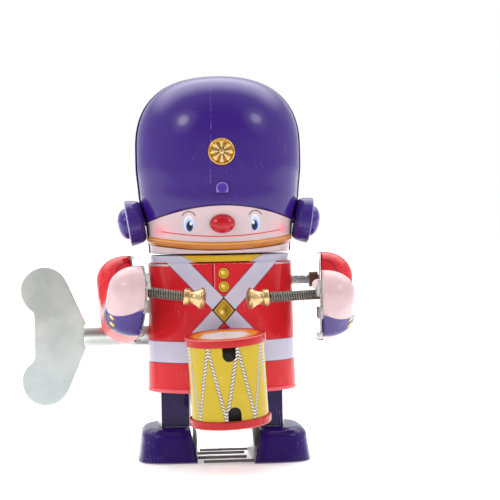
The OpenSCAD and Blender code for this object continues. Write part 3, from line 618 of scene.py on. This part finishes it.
def make_bracket():
    """Strap and post inside the head; its folded ends are the tabs on the hat."""
    verts, faces = [], []

    def slab(outline, depth_axis, low, high):
        faces.extend(slab_faces(len(outline), len(verts)))
        for level in (low, high):
            verts.extend((u, level, v) if depth_axis == "y" else (u, v, level) for u, v in outline)

    half, shoulder = 2.5, TAB_Z + 2.3
    tab = [(-half, TAB_Z), (half, TAB_Z), (half, shoulder)] + arc(0, shoulder, half, 15, 165, 10, 2.4)
    tab.append((-half, shoulder))
    front = -HEAD_D * head_share(TAB_Z + 2)
    slab(tab, "y", front - 0.75, front - 0.15)
    slab(tab, "y", -front + 0.15, -front + 0.75)
    strap = [(-half, front - 0.4), (half, front - 0.4), (half, -front + 0.4), (-half, -front + 0.4)]
    slab(strap, "z", TAB_Z, TAB_Z + 0.5)
    slab([(-4, 83.5), (4, 83.5), (4, TAB_Z), (-4, TAB_Z)], "y", -0.3, 0.3)
    f = Finish("litho_tab", (70, 44, 142), roughness=0.18, coat=0.7)
    edge = inside(disc(f.x, f.z, 0, shoulder, 2.05, 2.0) * -1.0, 0.35) * inside(TAB_Z + 0.6 - f.z, 0.4)
    f.paint((150, 128, 200), edge * 0.8)
    bracket = piece("head_bracket_tin", "body", (verts, faces), f.finish(),
                    replaces=["head_bracket"])
    bevel(bracket, 0.22)


def make_ears():
    cup = [(0.05, -1.3), (2.2, -1.3), (2.2, -0.4), (6.6, -0.4), (7.8, -0.1), (8.6, 0.6), (9.1, 1.5)]
    cup += [(9.45, 2.6), (9.7, 4.0), (9.85, 5.0), (9.9, 6.4)] + arc(9.6, 6.5, 0.32, 0, 180, 5)
    cup += [(9.2, 5.0), (8.6, 3.4), (7.0, 2.3), (4.4, 1.1), (0.05, 1.0)]
    cap = [(6.4, 4.4), (6.7, 5.4), (6.75, 6.2), (7.1, 6.55), (7.15, 6.8), (6.8, 7.1)]
    cap += arc(0, 7.15, 6.7, 5, 85, 16, 3.9) + [(0.03, 11.05)]
    for name, side in SIDES.items():
        outwards = Matrix.Rotation(math.radians(99 * side), 4, "Y")
        place = Matrix.Translation((side * EAR_X, 0, EAR_Z)) @ outwards
        cup_finish = Finish(name + "_ear_litho", (58, 34, 118), roughness=0.16, coat=0.7)
        cup_finish.paint((150, 140, 190), inside(6.45 - cup_finish.z, 0.3) * 0.8)
        cap_finish = Finish(name + "_ear_cap_litho", (62, 36, 124), roughness=0.14, coat=0.8)
        cap_finish.paint((214, 210, 232), inside((cap_finish.z - 6.7).abs() - 0.25, 0.2))
        for part, drawn, profile, finish in (("cup", "dish", cup, cup_finish),
                                             ("cap", "dome", cap, cap_finish)):
            finish.scratches(EAR_WEAR, 0.7)
            piece(name + "_ear_" + drawn, "body", lathe(profile, 72), finish.finish(),
                  replaces=[name + "_ear_" + part], place=place, sharp=50)


# ---- drum
DRUM_R, RIM_R, DRUM_H, RIM_H = 15.75, 16.75, 37.0, 3.5
DRUM_PLACE = (Matrix.Translation((0, -41.5, 38)) @ Matrix.Rotation(math.radians(-3), 4, "Y")
              @ Matrix.Rotation(math.radians(4), 4, "X") @ Matrix.Translation((0, 0, -DRUM_H / 2)))


def d_outline(width, height, steps=12):
    """Upright slot with a round top."""
    r = width / 2
    return [(-r, 0), (r, 0)] + arc(0, height - r, r, 0, 180, steps)


def cut(target, name, outline, place, depth):
    """Punches an outline, drawn in X and Z, through a sheet along Y."""
    mesh = bpy.data.meshes.new(name)
    verts = [TO_ROW @ place @ Vector((u, d, v)) for d in (-depth, depth) for u, v in outline]
    mesh.from_pydata(verts, [], slab_faces(len(outline)))
    tool = add(name, mesh)
    mod = target.modifiers.new(name, "BOOLEAN")
    mod.object = tool
    mod.operation = "DIFFERENCE"
    mod.solver = "EXACT"
    bpy.context.view_layer.objects.active = target
    for m in list(target.modifiers):
        bpy.ops.object.modifier_apply(modifier=m.name)
    bpy.data.objects.remove(tool)


FOLD, ROPE_TURN = 45.0, 31.2            # degrees between two folds of the rope, and where they start
ROPE_TOP, ROPE_DROP = 33.3, 29.6
ROPE_LEAN, TWIST = 0.977, 1.45          # cosine of the rope's slope, and length of one turn of its strands


def drum_print():
    """Yellow with a twisted rope that zigzags between the rims."""
    f = Finish("litho_drum", (186, 162, 32), roughness=0.26, coat=0.5)
    angle = f.x.op("ARCTAN2", -f.y) * (180 / math.pi)
    f.paint((184, 154, 28), f.noise(0.12, 3.0, (1, 1, 0.4)) * 0.5)
    drop = (ROPE_TOP - f.z) * (1 / ROPE_DROP)
    turned = (angle + ROPE_TURN + 360 + FOLD / 2).op("MODULO", FOLD) - FOLD / 2
    across = (turned.abs() - drop * (FOLD / 2)) * (DRUM_R * math.pi / 180) * ROPE_LEAN
    f.paint((96, 84, 40), inside(across.abs() - 0.82, 0.2) * 0.8)
    f.paint((196, 188, 174), inside(across.abs() - 0.62))
    strands = ((f.z + across * 0.8) * (2 * math.pi / TWIST)).op("SINE")
    f.paint((64, 56, 48), inside(across.abs() - 0.6) * inside(0.3 - strands, 0.4))
    f.paint((218, 212, 200), inside(across.abs() - 0.42) * inside(strands + 0.2, 0.4))
    f.scratches((250, 240, 200), 0.5)
    return f.finish(bump_scale=0.15)


def rim_print():
    f = Finish("litho_drum_rim", RIM_RED, roughness=0.24, coat=0.6)
    f.paint(RIM_LINE, inside((f.z - 0.35).abs() - 0.2, 0.3) * 0.5)
    f.scratches(RED_WEAR, 0.8)
    return f.finish()


def drumhead_print():
    """Orange and yellow ring round a pale middle with a toothed edge."""
    f = Finish("litho_drum_head", RIM_RED, roughness=0.24, coat=0.6)
    r = (f.x * f.x + f.y * f.y).sqrt()
    angle = f.y.op("ARCTAN2", f.x)
    f.paint((220, 112, 38), inside(r - 14.2))
    f.paint((222, 154, 46), inside(r - 13.0, 0.8))
    f.paint((110, 30, 20), inside((r - 14.2).abs() - 0.12))
    teeth = (angle * 18).op("SINE").abs() * 1.8 + (angle * 7).op("SINE") * 0.5
    f.paint((226, 214, 214), inside(r - 8.7 - teeth))
    f.paint(RIM_LINE, inside((f.z - 0.35).abs() - 0.2, 0.3) * inside(14.2 - r) * 0.5)
    f.scratches(RED_WEAR, 0.6)
    return f.finish()


def make_drum():
    inner, low, high = DRUM_R - 0.5, 0.7, DRUM_H - 0.7
    outside = [(DRUM_R, low + (high - low) * k / 12) for k in range(13)]
    wall = [(inner, low)] + outside + [(inner, high), (inner, low)]
    shell = piece("drum_wall", "body", lathe(wall, 144), [drum_print(), painted_shade_black],
                  replaces=["drum_shell"], place=DRUM_PLACE)
    for name, turn, z, way in (("top_slot", 1, DRUM_H - RIM_H, -1), ("low_slot", 3.5, RIM_H, 1)):
        turned = DRUM_PLACE @ Matrix.Rotation(math.radians(turn), 4, "Z")
        outline = [(u * way, way * v) for u, v in d_outline(5.4, 5.8)]
        cut(shell, name, outline, turned @ Matrix.Translation((0, -DRUM_R, z)), 2.0)
    back = (TO_ROW @ DRUM_PLACE).inverted()
    write_place(shell.data, [back @ v.co for v in shell.data.vertices])
    # painted shade: a dark sheet behind the slots, for the shade inside the drum
    shade_sheet_wall = [(DRUM_R - 1.1, 1.2), (DRUM_R - 1.1, DRUM_H - 1.2)]
    shade_sheet = piece("drum_shade_sheet", "body", lathe(shade_sheet_wall, 48), painted_shade_black, place=DRUM_PLACE)
    solid_sheet(shade_sheet, 0.3)
    # a lid: sunk skin, bead, wall of the rim and its inner edge
    lid = [(0.03, 0.62), (6, 0.6), (11.5, 0.5), (13.0, 0.42), (13.6, 0.2), (13.9, 0.12)]
    lid += arc(RIM_R - 0.75, 0.75, 0.75, -90, 0, 5) + arc(RIM_R - 0.5, RIM_H - 0.5, 0.5, 0, 90, 5)
    lid += [(DRUM_R + 0.05, RIM_H), (DRUM_R + 0.05, 0.7)]
    piece("drum_bottom_lid", "body", lathe(lid, 144), rim_print(), replaces=["drum_bottom"],
          place=DRUM_PLACE)
    top_place = DRUM_PLACE @ Matrix.Translation((0, 0, DRUM_H)) @ Matrix.Rotation(math.pi, 4, "X")
    piece("drum_head_lid", "body", lathe(lid, 144), drumhead_print(),
          replaces=["drum_top"], place=top_place)


# ---- arms
ARM_Z, ARM_DEPTH = 76.5, 13.8
ARM_X = {RIGHT: 39.7, LEFT: 43.9}
TOE_IN = {RIGHT: 8.5, LEFT: 6.0}
HAND_DROP = {RIGHT: 0.0, LEFT: 5.7}
ARM_CIRCLES = [(0, 0, 12), (-10, -15, 10.3), (-24, -11.5, 10), (-35, -1.8, 10.4)]     # y, z and radius
ARM_MIDDLE = (-17.5, -8.0)
TAB_SPOTS = ((1.0, 12.0), (-44.5, 2.6), (-42.6, -8.8), (-29.0, -20.6), (-11.5, -25.1), (10.2, -5.5))


def arm_place(side):
    toe_in = Matrix.Rotation(math.radians(-TOE_IN[side]), 4, "Z")
    drop = Matrix.Rotation(math.radians(HAND_DROP[side]), 4, "X")
    return mirrored(side) @ Matrix.Translation((ARM_X[side], 0, ARM_Z)) @ toe_in @ drop


def nearest(p):
    """Signed distance of a side-view point from the outline, and the nearest point of the middle line."""
    best = None
    for (y0, z0, r0), (y1, z1, r1) in zip(ARM_CIRCLES, ARM_CIRCLES[1:]):
        dy, dz = y1 - y0, z1 - z0
        t = clamp(((p[0] - y0) * dy + (p[1] - z0) * dz) / (dy * dy + dz * dz))
        c = (y0 + t * dy, z0 + t * dz)
        d = math.dist(p, c) - r0 - t * (r1 - r0)
        if best is None or d < best[0]:
            best = (d, c)
    return best


def arm_outline(steps=220):
    """Outline points found by walking out along rays from the middle of the arm."""
    points = []
    for k in range(steps):
        a = 2 * math.pi * k / steps
        low, high = 0.0, 60.0
        for _ in range(40):
            mid = (low + high) / 2
            point = (ARM_MIDDLE[0] + mid * math.cos(a), ARM_MIDDLE[1] + mid * math.sin(a))
            if nearest(point)[0] < 0:
                low = mid
            else:
                high = mid
        points.append((ARM_MIDDLE[0] + low * math.cos(a), ARM_MIDDLE[1] + low * math.sin(a)))
    return points


def relax(points, passes):
    """Each point of a closed line moves half-way to the middle of its neighbours, a few times over."""
    for _ in range(passes):
        rows = zip(points[-1:] + points[:-1], points, points[1:] + points[:1])
        points = [tuple(here / 2 + (before + after) / 4 for before, here, after in zip(*row)) for row in rows]
    return points


def even_ring(points, count):
    """The same closed line with evenly spaced points."""
    loop = points + points[:1]
    lengths = [math.dist(a, b) for a, b in zip(loop, loop[1:])]
    total, out, run, k = sum(lengths), [], 0.0, 0
    for i in range(count):
        want = total * i / count
        while run + lengths[k] < want:
            run += lengths[k]
            k += 1
        t = (want - run) / lengths[k]
        out.append(tuple(a + (b - a) * t for a, b in zip(loop[k], loop[k + 1])))
    return out


def make_arm_shell(name, side):
    """Domed pressed shell: rings shrink from the outline to the middle line while they rise."""
    ring = even_ring(relax(arm_outline(), 6), 180)
    hearts = relax([nearest(p)[1] for p in ring], 12)
    steps = 26
    verts = [(0.0, y, z) for y, z in ring]
    for k in range(steps + 1):
        t = k / steps
        shrink = 1 - math.cos(math.pi / 2 * t) ** (2 / 2.15)
        rise = math.sin(math.pi / 2 * t) ** (2 / 2.1)
        out, pull = 1.0 + (ARM_DEPTH - 1.0) * rise, shrink * 0.985
        verts += [(out, y + (hy - y) * pull, z + (hz - z) * pull) for (y, z), (hy, hz) in zip(ring, hearts)]
    n = len(ring)
    faces = grid_faces(steps + 2, n, closed=True)
    faces.append(list(range((steps + 1) * n, (steps + 2) * n)))
    shell = piece(name + "_sleeve", name + "_arm", (verts, faces), [sleeve_print(name), plain_tin],
                  replaces=[name + "_arm_shell"], place=arm_place(side), sharp=60)
    solid_sheet(shell, TIN, inner_slot=1, rim_slot=1)
    make_arm_plate(name, side, ring)
    if side == LEFT:
        make_thumb(name, side)


def make_arm_plate(name, side, ring):
    """Flat sheet that closes the arm, with tabs folded over from the shell."""
    hearts = [nearest(p)[1] for p in ring]
    inset = [(y + (hy - y) * 0.012, z + (hz - z) * 0.012) for (y, z), (hy, hz) in zip(ring, hearts)]
    n = len(inset)
    verts = [(u, y, z) for u in (-0.9, -0.35) for y, z in inset]
    faces = slab_faces(n)
    for spot in TAB_SPOTS:
        k = min(range(n), key=lambda i: math.dist(inset[i], spot))
        heart_y, heart_z = hearts[k]
        first = len(verts)
        # each bend is a row of four points: the tab's two corners, outside and inside
        for u, pull in ((0.4, -0.035), (-1.1, -0.035), (-1.9, -0.01), (-2.5, 0.06)):
            for y, z in (inset[(k - 4) % n], inset[(k + 4) % n]):
                verts += [(u, y + (heart_y - y) * share, z + (heart_z - z) * share)
                          for share in (pull, pull + 0.03)]
        for r in range(first, first + 12, 4):
            faces += [[r, r + 4, r + 6, r + 2], [r + 1, r + 3, r + 7, r + 5]]
            faces += [[r, r + 1, r + 5, r + 4], [r + 2, r + 6, r + 7, r + 3]]
        last = first + 12
        faces += [[first, first + 2, first + 3, first + 1], [last, last + 1, last + 3, last + 2]]
    plate = piece(name + "_arm_back", name + "_arm", (verts, faces), plain_tin,
                  replaces=[name + "_arm_plate"], place=arm_place(side))
    bevel(plate, 0.08, 2)


def make_thumb(name, side):
    """Small rounded thumb that stands in past the plate."""
    verts, faces = lathe(arc(0, 0, 1, -88, 88, 16), 36)
    verts = [(-1.3 + w * 2.9, -41.2 + u * 2.0, 3.4 + v * 2.3) for u, v, w in verts]
    f = Finish(name + "_thumb_litho", (198, 170, 176), roughness=0.2, coat=0.6)
    f.paint((240, 214, 212), inside(f.x + 2.2, 1.6) * 0.6)
    piece(name + "_thumb", name + "_arm", (verts, faces), f.finish(), place=arm_place(side))


def sleeve_print(name):
    f = Finish(name + "_litho_sleeve", RED, roughness=0.22, coat=0.6)
    v, w = f.y, f.z
    reach = (v + 10) * -0.883 + (w + 15) * 0.466
    hand = disc(v, w, *ARM_CIRCLES[-1][:2], 10.1).min(32.0 - reach)
    cuff = (11.0 - reach).max(reach - 33.0)
    # painted shade: a dark red line across the sleeve just above the cuff, for the crease there
    f.paint((120, 12, 24), inside((reach - 8.5).abs() - 0.22) * 0.6)
    f.paint(BLACK_INK, inside(cuff - 0.3))
    f.paint((62, 46, 116), inside(cuff))
    for button_y, button_z in ((-30.6, -12.9), (-28.0, -15.8)):
        f.paint((40, 30, 60), inside(disc(v, w, button_y, button_z, 1.3)))
        f.paint(YELLOW, inside(disc(v, w, button_y, button_z, 1.05)))
        # painted highlight: a small pale spot at the top of each cuff button
        f.paint((250, 236, 160), inside(disc(v, w, button_y, button_z + 0.3, 0.4), 0.5))
    f.paint((206, 178, 180), inside(hand - 0.2))
    f.paint((194, 170, 174), inside(hand))
    f.paint((214, 166, 168), inside(hand + 2.5, 4) * f.noise(0.15, 2.0) * 0.5)
    f.scratches((240, 200, 200), 0.7)
    return f.finish(bump=0.006, bump_scale=0.15)


STICKS = {RIGHT: ((-37.0, -36.6, 74.7), (-8.3, -40.6, 70.8)), LEFT: ((41.5, -36.2, 71.6), (8.3, -40.6, 70.6))}


def make_stick(name, side):
    """Close-wound coil round a dark rod of painted shade, for the shade inside the coil, with a turned brass
    tip.
    """
    root, end = (Vector(point) for point in STICKS[side])
    length = (end - root).length
    tip_l, wire, radius, core = 9.0, 0.52, 1.7, 1.5
    place = Matrix.Translation(root) @ (end - root).to_track_quat("Z", "Y").to_matrix().to_4x4()
    arm = name + "_arm"
    coil_l = length - tip_l - 0.6
    count = round(coil_l / 1.02) * 20
    turn = 2 * math.pi / 20
    path = [(radius * math.cos(turn * k), radius * math.sin(turn * k), 0.3 + coil_l * k / count)
            for k in range(count + 1)]
    piece(name + "_stick_coil", arm, tube(path, wire, sides=8), coil_steel,
          replaces=[name + "_stick_spring"], place=place, sharp=80)
    # painted shade: a dark rod inside the coil
    rod = [(0.02, 0), (core, 0), (core, coil_l), (0.02, coil_l)]
    piece(name + "_stick_shade_rod", arm, lathe(rod, 24), painted_shade_black, place=place)
    # tip: collar with rounded edges, waist, and a flare to the round end
    tip = [(0.02, 0), (3.2, 0)] + arc(3.2, 0.3, 0.3, -90, 0, 4) + arc(3.2, 2.0, 0.3, 0, 90, 4)
    tip += [(2.85, 2.5), (2.7, 2.9), (2.7, 3.4), (2.8, 4.0), (3.05, 4.7), (3.45, 5.4), (3.9, 6.1)]
    tip += [(4.25, 6.6)] + arc(3.75, 7.2, 0.75, -30, 70, 6)
    tip += [(3.5, 8.25), (2.6, 8.65), (1.4, 8.9), (0.02, tip_l)]
    tip_place = place @ Matrix.Translation((0, 0, length - tip_l))
    piece(name + "_stick_bead", arm, lathe(tip, 56), brass, replaces=[name + "_stick_tip"],
          place=tip_place, sharp=40)


# ---- feet
FOOT_IN, FOOT_W, FOOT_L, FOOT_H = 11.5, 25.4, 45.0, 14.3
WALL_SHARE, WALL_H, WALL_SLANT = 0.6, 10.0, 1.3      # the steep lower part of the shoe's side


def foot_ring(level, steps=90):
    """Plan of the shoe at a level from 0 at the floor to 1 at the top, inner ends at the open side."""
    if level < WALL_SHARE:
        t = level / WALL_SHARE
        z, inset = WALL_H * t, WALL_SLANT * t
    else:
        turn = math.pi / 2 * (level - WALL_SHARE) / (1 - WALL_SHARE)
        z = WALL_H + (FOOT_H - WALL_H) * math.sin(turn) ** (2 / 2.05)
        inset = WALL_SLANT + 5.2 * (1 - math.cos(turn) ** (2 / 2.05))
    inner = FOOT_IN + 0.35 + 2.9 * z / FOOT_H
    outer = FOOT_IN + FOOT_W - inset
    half = FOOT_L / 2 - inset * 1.05
    ring = []
    for k in range(steps + 1):
        a = math.pi * k / steps
        u = abs(math.sin(a)) ** (2 / 4.2)
        v = math.copysign(abs(math.cos(a)) ** (2 / 4.2), -math.cos(a))
        ring.append((inner + (outer - inner) * u, half * v, z))
    return ring


def make_foot(name, side):
    low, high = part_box(name + "_foot_shell")
    middle = ((low.y + high.y) / 2 - AXIS.y) / MM
    rows = [foot_ring(k / 26) for k in range(27)]
    columns = len(rows[0])
    verts = [p for ring in rows for p in ring]
    faces = grid_faces(len(rows), columns)
    top = (len(rows) - 1) * columns
    faces.append([top + k for k in range(columns)])
    place = mirrored(side) @ Matrix.Translation((0, middle, 0))
    f = Finish(name + "_litho_shoe", (38, 12, 92), roughness=0.24, coat=0.4, coat_roughness=0.12)
    # painted highlight: a pale band along the bottom edge of the shoe; painted shade: a dark line just above
    # it
    f.paint((150, 130, 190), inside(f.z - 0.35, 0.25) * 0.7)
    f.paint((20, 10, 40), inside((f.z - 0.75).abs() - 0.2, 0.2) * 0.6)
    f.scratches((150, 130, 190), 1.2)
    litho = f.finish(bump_scale=0.15)
    shoe = piece(name + "_shoe", name + "_leg", (verts, faces), [litho, plain_tin],
                 replaces=[name + "_foot_shell"], place=place, sharp=50)
    solid_sheet(shoe, TIN, inner_slot=1, rim_slot=1)


# ---- key
KEY_Y, KEY_Z = 10.0, 53.6
STEM_R, STEM_START, BLADE_START, TIP_X = 4.35, -31.0, -58.0, -81.0
LOBE_R, LOBE_X, LOBE_Z = 10.4, -76.3, 19.85
NECK_HALF, LOBE_START = 3.9, (-66.8, 24.0)      # half-width at the stem, and where the neck meets the lobe


def key_outline():
    """Closed outline of the blade: neck, round lobe and far edge, then the same upside down."""
    start = math.degrees(math.atan2(LOBE_START[1] - LOBE_Z, LOBE_START[0] - LOBE_X))
    end = 360 - math.degrees(math.acos((TIP_X - LOBE_X) / LOBE_R))
    lobe = arc(LOBE_X, LOBE_Z, LOBE_R, start, end, 40)
    x, z = lobe[0]
    neck = [(BLADE_START + (x - BLADE_START) * k / 12, NECK_HALF + (z - NECK_HALF) * k / 12)
            for k in range(12)]
    edge = [(TIP_X, lobe[-1][1] * (1 - k / 8)) for k in range(1, 9)]
    upper = neck + lobe + edge
    return relax(even_ring(upper + [(x, -z) for x, z in reversed(upper[:-1])], 260), 8)


def key_nickel():
    f = Finish("satin_nickel", (180, 182, 180), roughness=0.3, metallic=1.0)
    brushed = f.noise(1.6, 4.0, (0.15, 1, 1.2))
    f.paint((176, 182, 182), inside(0.5 - brushed, 0.3) * 0.25)
    cloud = f.noise(0.06, 3.0)
    f.paint((214, 214, 206), inside(0.5 - cloud, 0.25) * 0.6)
    # painted reflection: the lower part of the key turns bluish and lighter
    f.paint((170, 184, 188), inside(f.z + 4, 24) * 0.45)
    return f.finish(bump=0.0006, bump_scale=0.3, rough_swing=0.08)


def make_key():
    outline = key_outline()
    verts = [(x, y, z) for y in (-0.45, 0.45) for x, z in outline]
    place = Matrix.Translation((0, KEY_Y, KEY_Z))
    nickel = key_nickel()
    blade = piece("key_blade", "key", (verts, slab_faces(len(outline))), nickel,
                  replaces=["winding_key"], place=place)
    bevel(blade, 0.3)
    # rolled stem: a sheet curled into a tube, its seam left open a little
    steps, rings = 60, 24
    length = BLADE_START - 1.5 - STEM_START
    turns = [math.radians(62 + 356.0 * j / steps) for j in range(steps + 1)]
    verts = [(STEM_START + length * k / rings, STEM_R * math.cos(a), STEM_R * math.sin(a))
             for k in range(rings + 1) for a in turns]
    sheet = grid_faces(rings + 1, steps + 1)
    stem = piece("key_stem", "key", (verts, sheet), nickel, place=place, sharp=50)
    solid_sheet(stem, 0.8)
    bevel(stem, 0.15)


# ---- carried CAD nodes
def both(*names):
    return [side + "_" + name for name in names for side in SIDES]


def finish_cad():
    """Gives the CAD nodes that are shown as they are their materials."""
    groups = {
        gear_brass: ["great_wheel", "second_pinion", "second_wheel", "crank_pinion", "escape_pinion",
                     "escape_wheel"],
        shaft_steel: ["frame_pillars", "hip_pins", "key_arbor", "ratchet_wheel", "second_axle", "arm_cams",
                      "crank_axle", "crank_discs", "escape_axle", "verge"] + both("arm_axle", "arm_lever"),
        wire_steel: both("foot_wires"),
        sheet_steel: ["top_plate", "base_plate", "drum_bracket"] + both("frame_plate", "foot_plate"),
        blue_spring: ["mainspring"],
        bush_brown: both("arm_bush"),
        leg_print: both("leg_channel"),
    }
    for material, names in groups.items():
        for name in names:
            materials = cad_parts[name].data.materials
            materials.clear()
            materials.append(material)


def leg_material():
    """Purple on the front web, bare on the inner fold; light grey on the outer fold, a painted reflection of
    the bright room.
    """
    f = Finish("litho_leg", (34, 12, 74), roughness=0.24, coat=0.4).use_object_space()
    across = f.x - AXIS.x / MM
    outer_fold = inside(across) * 1.5 + 25.15        # the right leg is 1.5 mm wider
    # bare grey on the inner fold; on the outer fold the same grey is a painted reflection
    f.paint((206, 206, 210), inside(across.abs() - 14.75).max(inside(outer_fold - across.abs())))
    f.scratches((130, 116, 170), 1.0)
    return f.finish()


plain_tin = bare_metal("plain_tin", (188, 188, 186), 0.32)
shaft_steel = bare_metal("shaft_steel", (168, 168, 168), 0.22, (0.2, 1, 1), True)
wire_steel = bare_metal("wire_steel", (120, 120, 122), 0.32, (0.2, 1, 1), True)
sheet_steel = bare_metal("sheet_steel", (196, 196, 194), 0.3, (1, 0.15, 1), True)
gear_brass = bare_metal("gear_brass", (206, 168, 96), 0.3, (1, 1, 1), True)
blue_spring = bare_metal("blue_spring", (90, 92, 100), 0.3, (0.2, 1, 1), True)
coil_steel = bare_metal("coil_steel", (126, 122, 114), 0.36, (1, 1, 0.4))
brass = bare_metal("tip_brass", (214, 182, 132), 0.3, (1, 1, 0.2), bump=0.0006, stain_depth=0.12)
bush_brown = Finish("bush_brown", (96, 58, 36), roughness=0.45).use_object_space()
bush_brown = bush_brown.finish(bump=0.01, bump_scale=1.0)
# painted shade: a near-black for the inside of the drum and of the stick coils, where there is only shade
painted_shade_black = Finish("painted_shade_dark", (14, 14, 16), roughness=0.6).finish()
leg_print = leg_material()

make_jacket()
make_head()
make_nose()
make_badge()
make_bracket()
make_ears()
make_drum()
for side_name, side_sign in SIDES.items():
    make_arm_shell(side_name, side_sign)
    make_stick(side_name, side_sign)
    make_foot(side_name, side_sign)
make_key()
finish_cad()


# ---- stage, light and camera
def lamp(name, centre, width, toward, power):
    """A round soft lamp."""
    light = bpy.data.lights.new(name, "AREA")
    light.shape = "DISK"
    light.size = width
    light.energy = power
    obj = add(name, light)
    obj.location = centre
    obj.rotation_mode = "QUATERNION"
    obj.rotation_quaternion = (Vector(toward) - Vector(centre)).to_track_quat("-Z", "Y")


def make_floor():
    """A sheet that is white round the toy, where it also glows faintly, and greyer far out in front, so that
    the print keeps its depth.
    """
    reach = 6.0
    mesh = bpy.data.meshes.new("floor")
    mesh.from_pydata([(-reach, -reach, 0), (reach, -reach, 0), (reach, reach, 0), (-reach, reach, 0)], [],
                     [(0, 1, 2, 3)])
    floor = add("floor", mesh)
    material = bpy.data.materials.new("pale_floor")
    material.use_nodes = True
    tree = material.node_tree
    shader = node_of(tree, "BSDF_PRINCIPLED")
    place = tree.nodes.new("ShaderNodeTexCoord").outputs["Object"]
    near = ease(((coordinates(tree, place)[1] + 0.55) * (1 / 0.35)).clamp())
    tree.links.new((near * 0.5 + 0.45).value, shader.inputs["Base Color"])
    shader.inputs["Emission Color"].default_value = (1, 1, 1, 1)
    tree.links.new((near * 0.16).value, shader.inputs["Emission Strength"])
    shader.inputs["Roughness"].default_value = 0.7
    mesh.materials.append(material)
    floor.location.z = -0.0002


def make_world():
    """A light room, darker at the side the toy faces, with a bright ceiling behind the toy."""
    world = bpy.data.worlds.new("tent")
    world.use_nodes = True
    bpy.context.scene.world = world
    tree = world.node_tree
    place = tree.nodes.new("ShaderNodeTexCoord").outputs["Generated"]
    _, away, rise = coordinates(tree, place)
    level = ease(((away + 0.85) * (1 / 0.6)).clamp())
    haze = (1 - rise.abs() * (1 / 0.3)).clamp() * 0.5 + 0.3
    level = level * (1 - haze) + haze
    ceiling = ease(((rise - 0.42) * (1 / 0.35)).clamp())
    behind = ((away + 0.15) * (1 / 0.4)).clamp()
    level = level + ceiling * behind * 3.6
    tree.links.new(level.value, node_of(tree, "BACKGROUND").inputs["Color"])


def make_lamps():
    """Each lamp is a bright core in a wide dim disc, which gives a soft round highlight."""
    middle = AXIS + Vector((0, 0, 0.09))
    for name, spot, power in (("left", (-0.55, -0.55, 0.45), 1.3), ("right", (0.6, -0.5, 0.45), 1.0)):
        spot = Vector(spot)
        lamp(name + "_lamp", middle + spot, 0.2, middle, power * 0.6)
        lamp(name + "_glow", middle + spot * 1.02, 0.5, middle, power * 0.45)


CAMERA, TARGET, ROLL = Vector((-43.2, -748.8, 105.0)), Vector((13.2, 0, 89.7)), -1.08


def make_camera():
    data = bpy.data.cameras.new("camera")
    data.lens = 124.6
    data.sensor_width = 36
    data.clip_start, data.clip_end = 0.05, 50
    camera = add("camera", data)
    camera.location = AXIS + CAMERA * MM
    target = AXIS + TARGET * MM
    camera.rotation_mode = "QUATERNION"
    roll = Matrix.Rotation(math.radians(ROLL), 4, "Z").to_quaternion()
    camera.rotation_quaternion = (target - camera.location).to_track_quat("-Z", "Y") @ roll
    bpy.context.scene.camera = camera


make_floor()
make_world()
make_lamps()
make_camera()
bpy.context.scene.view_settings.view_transform = "Standard"
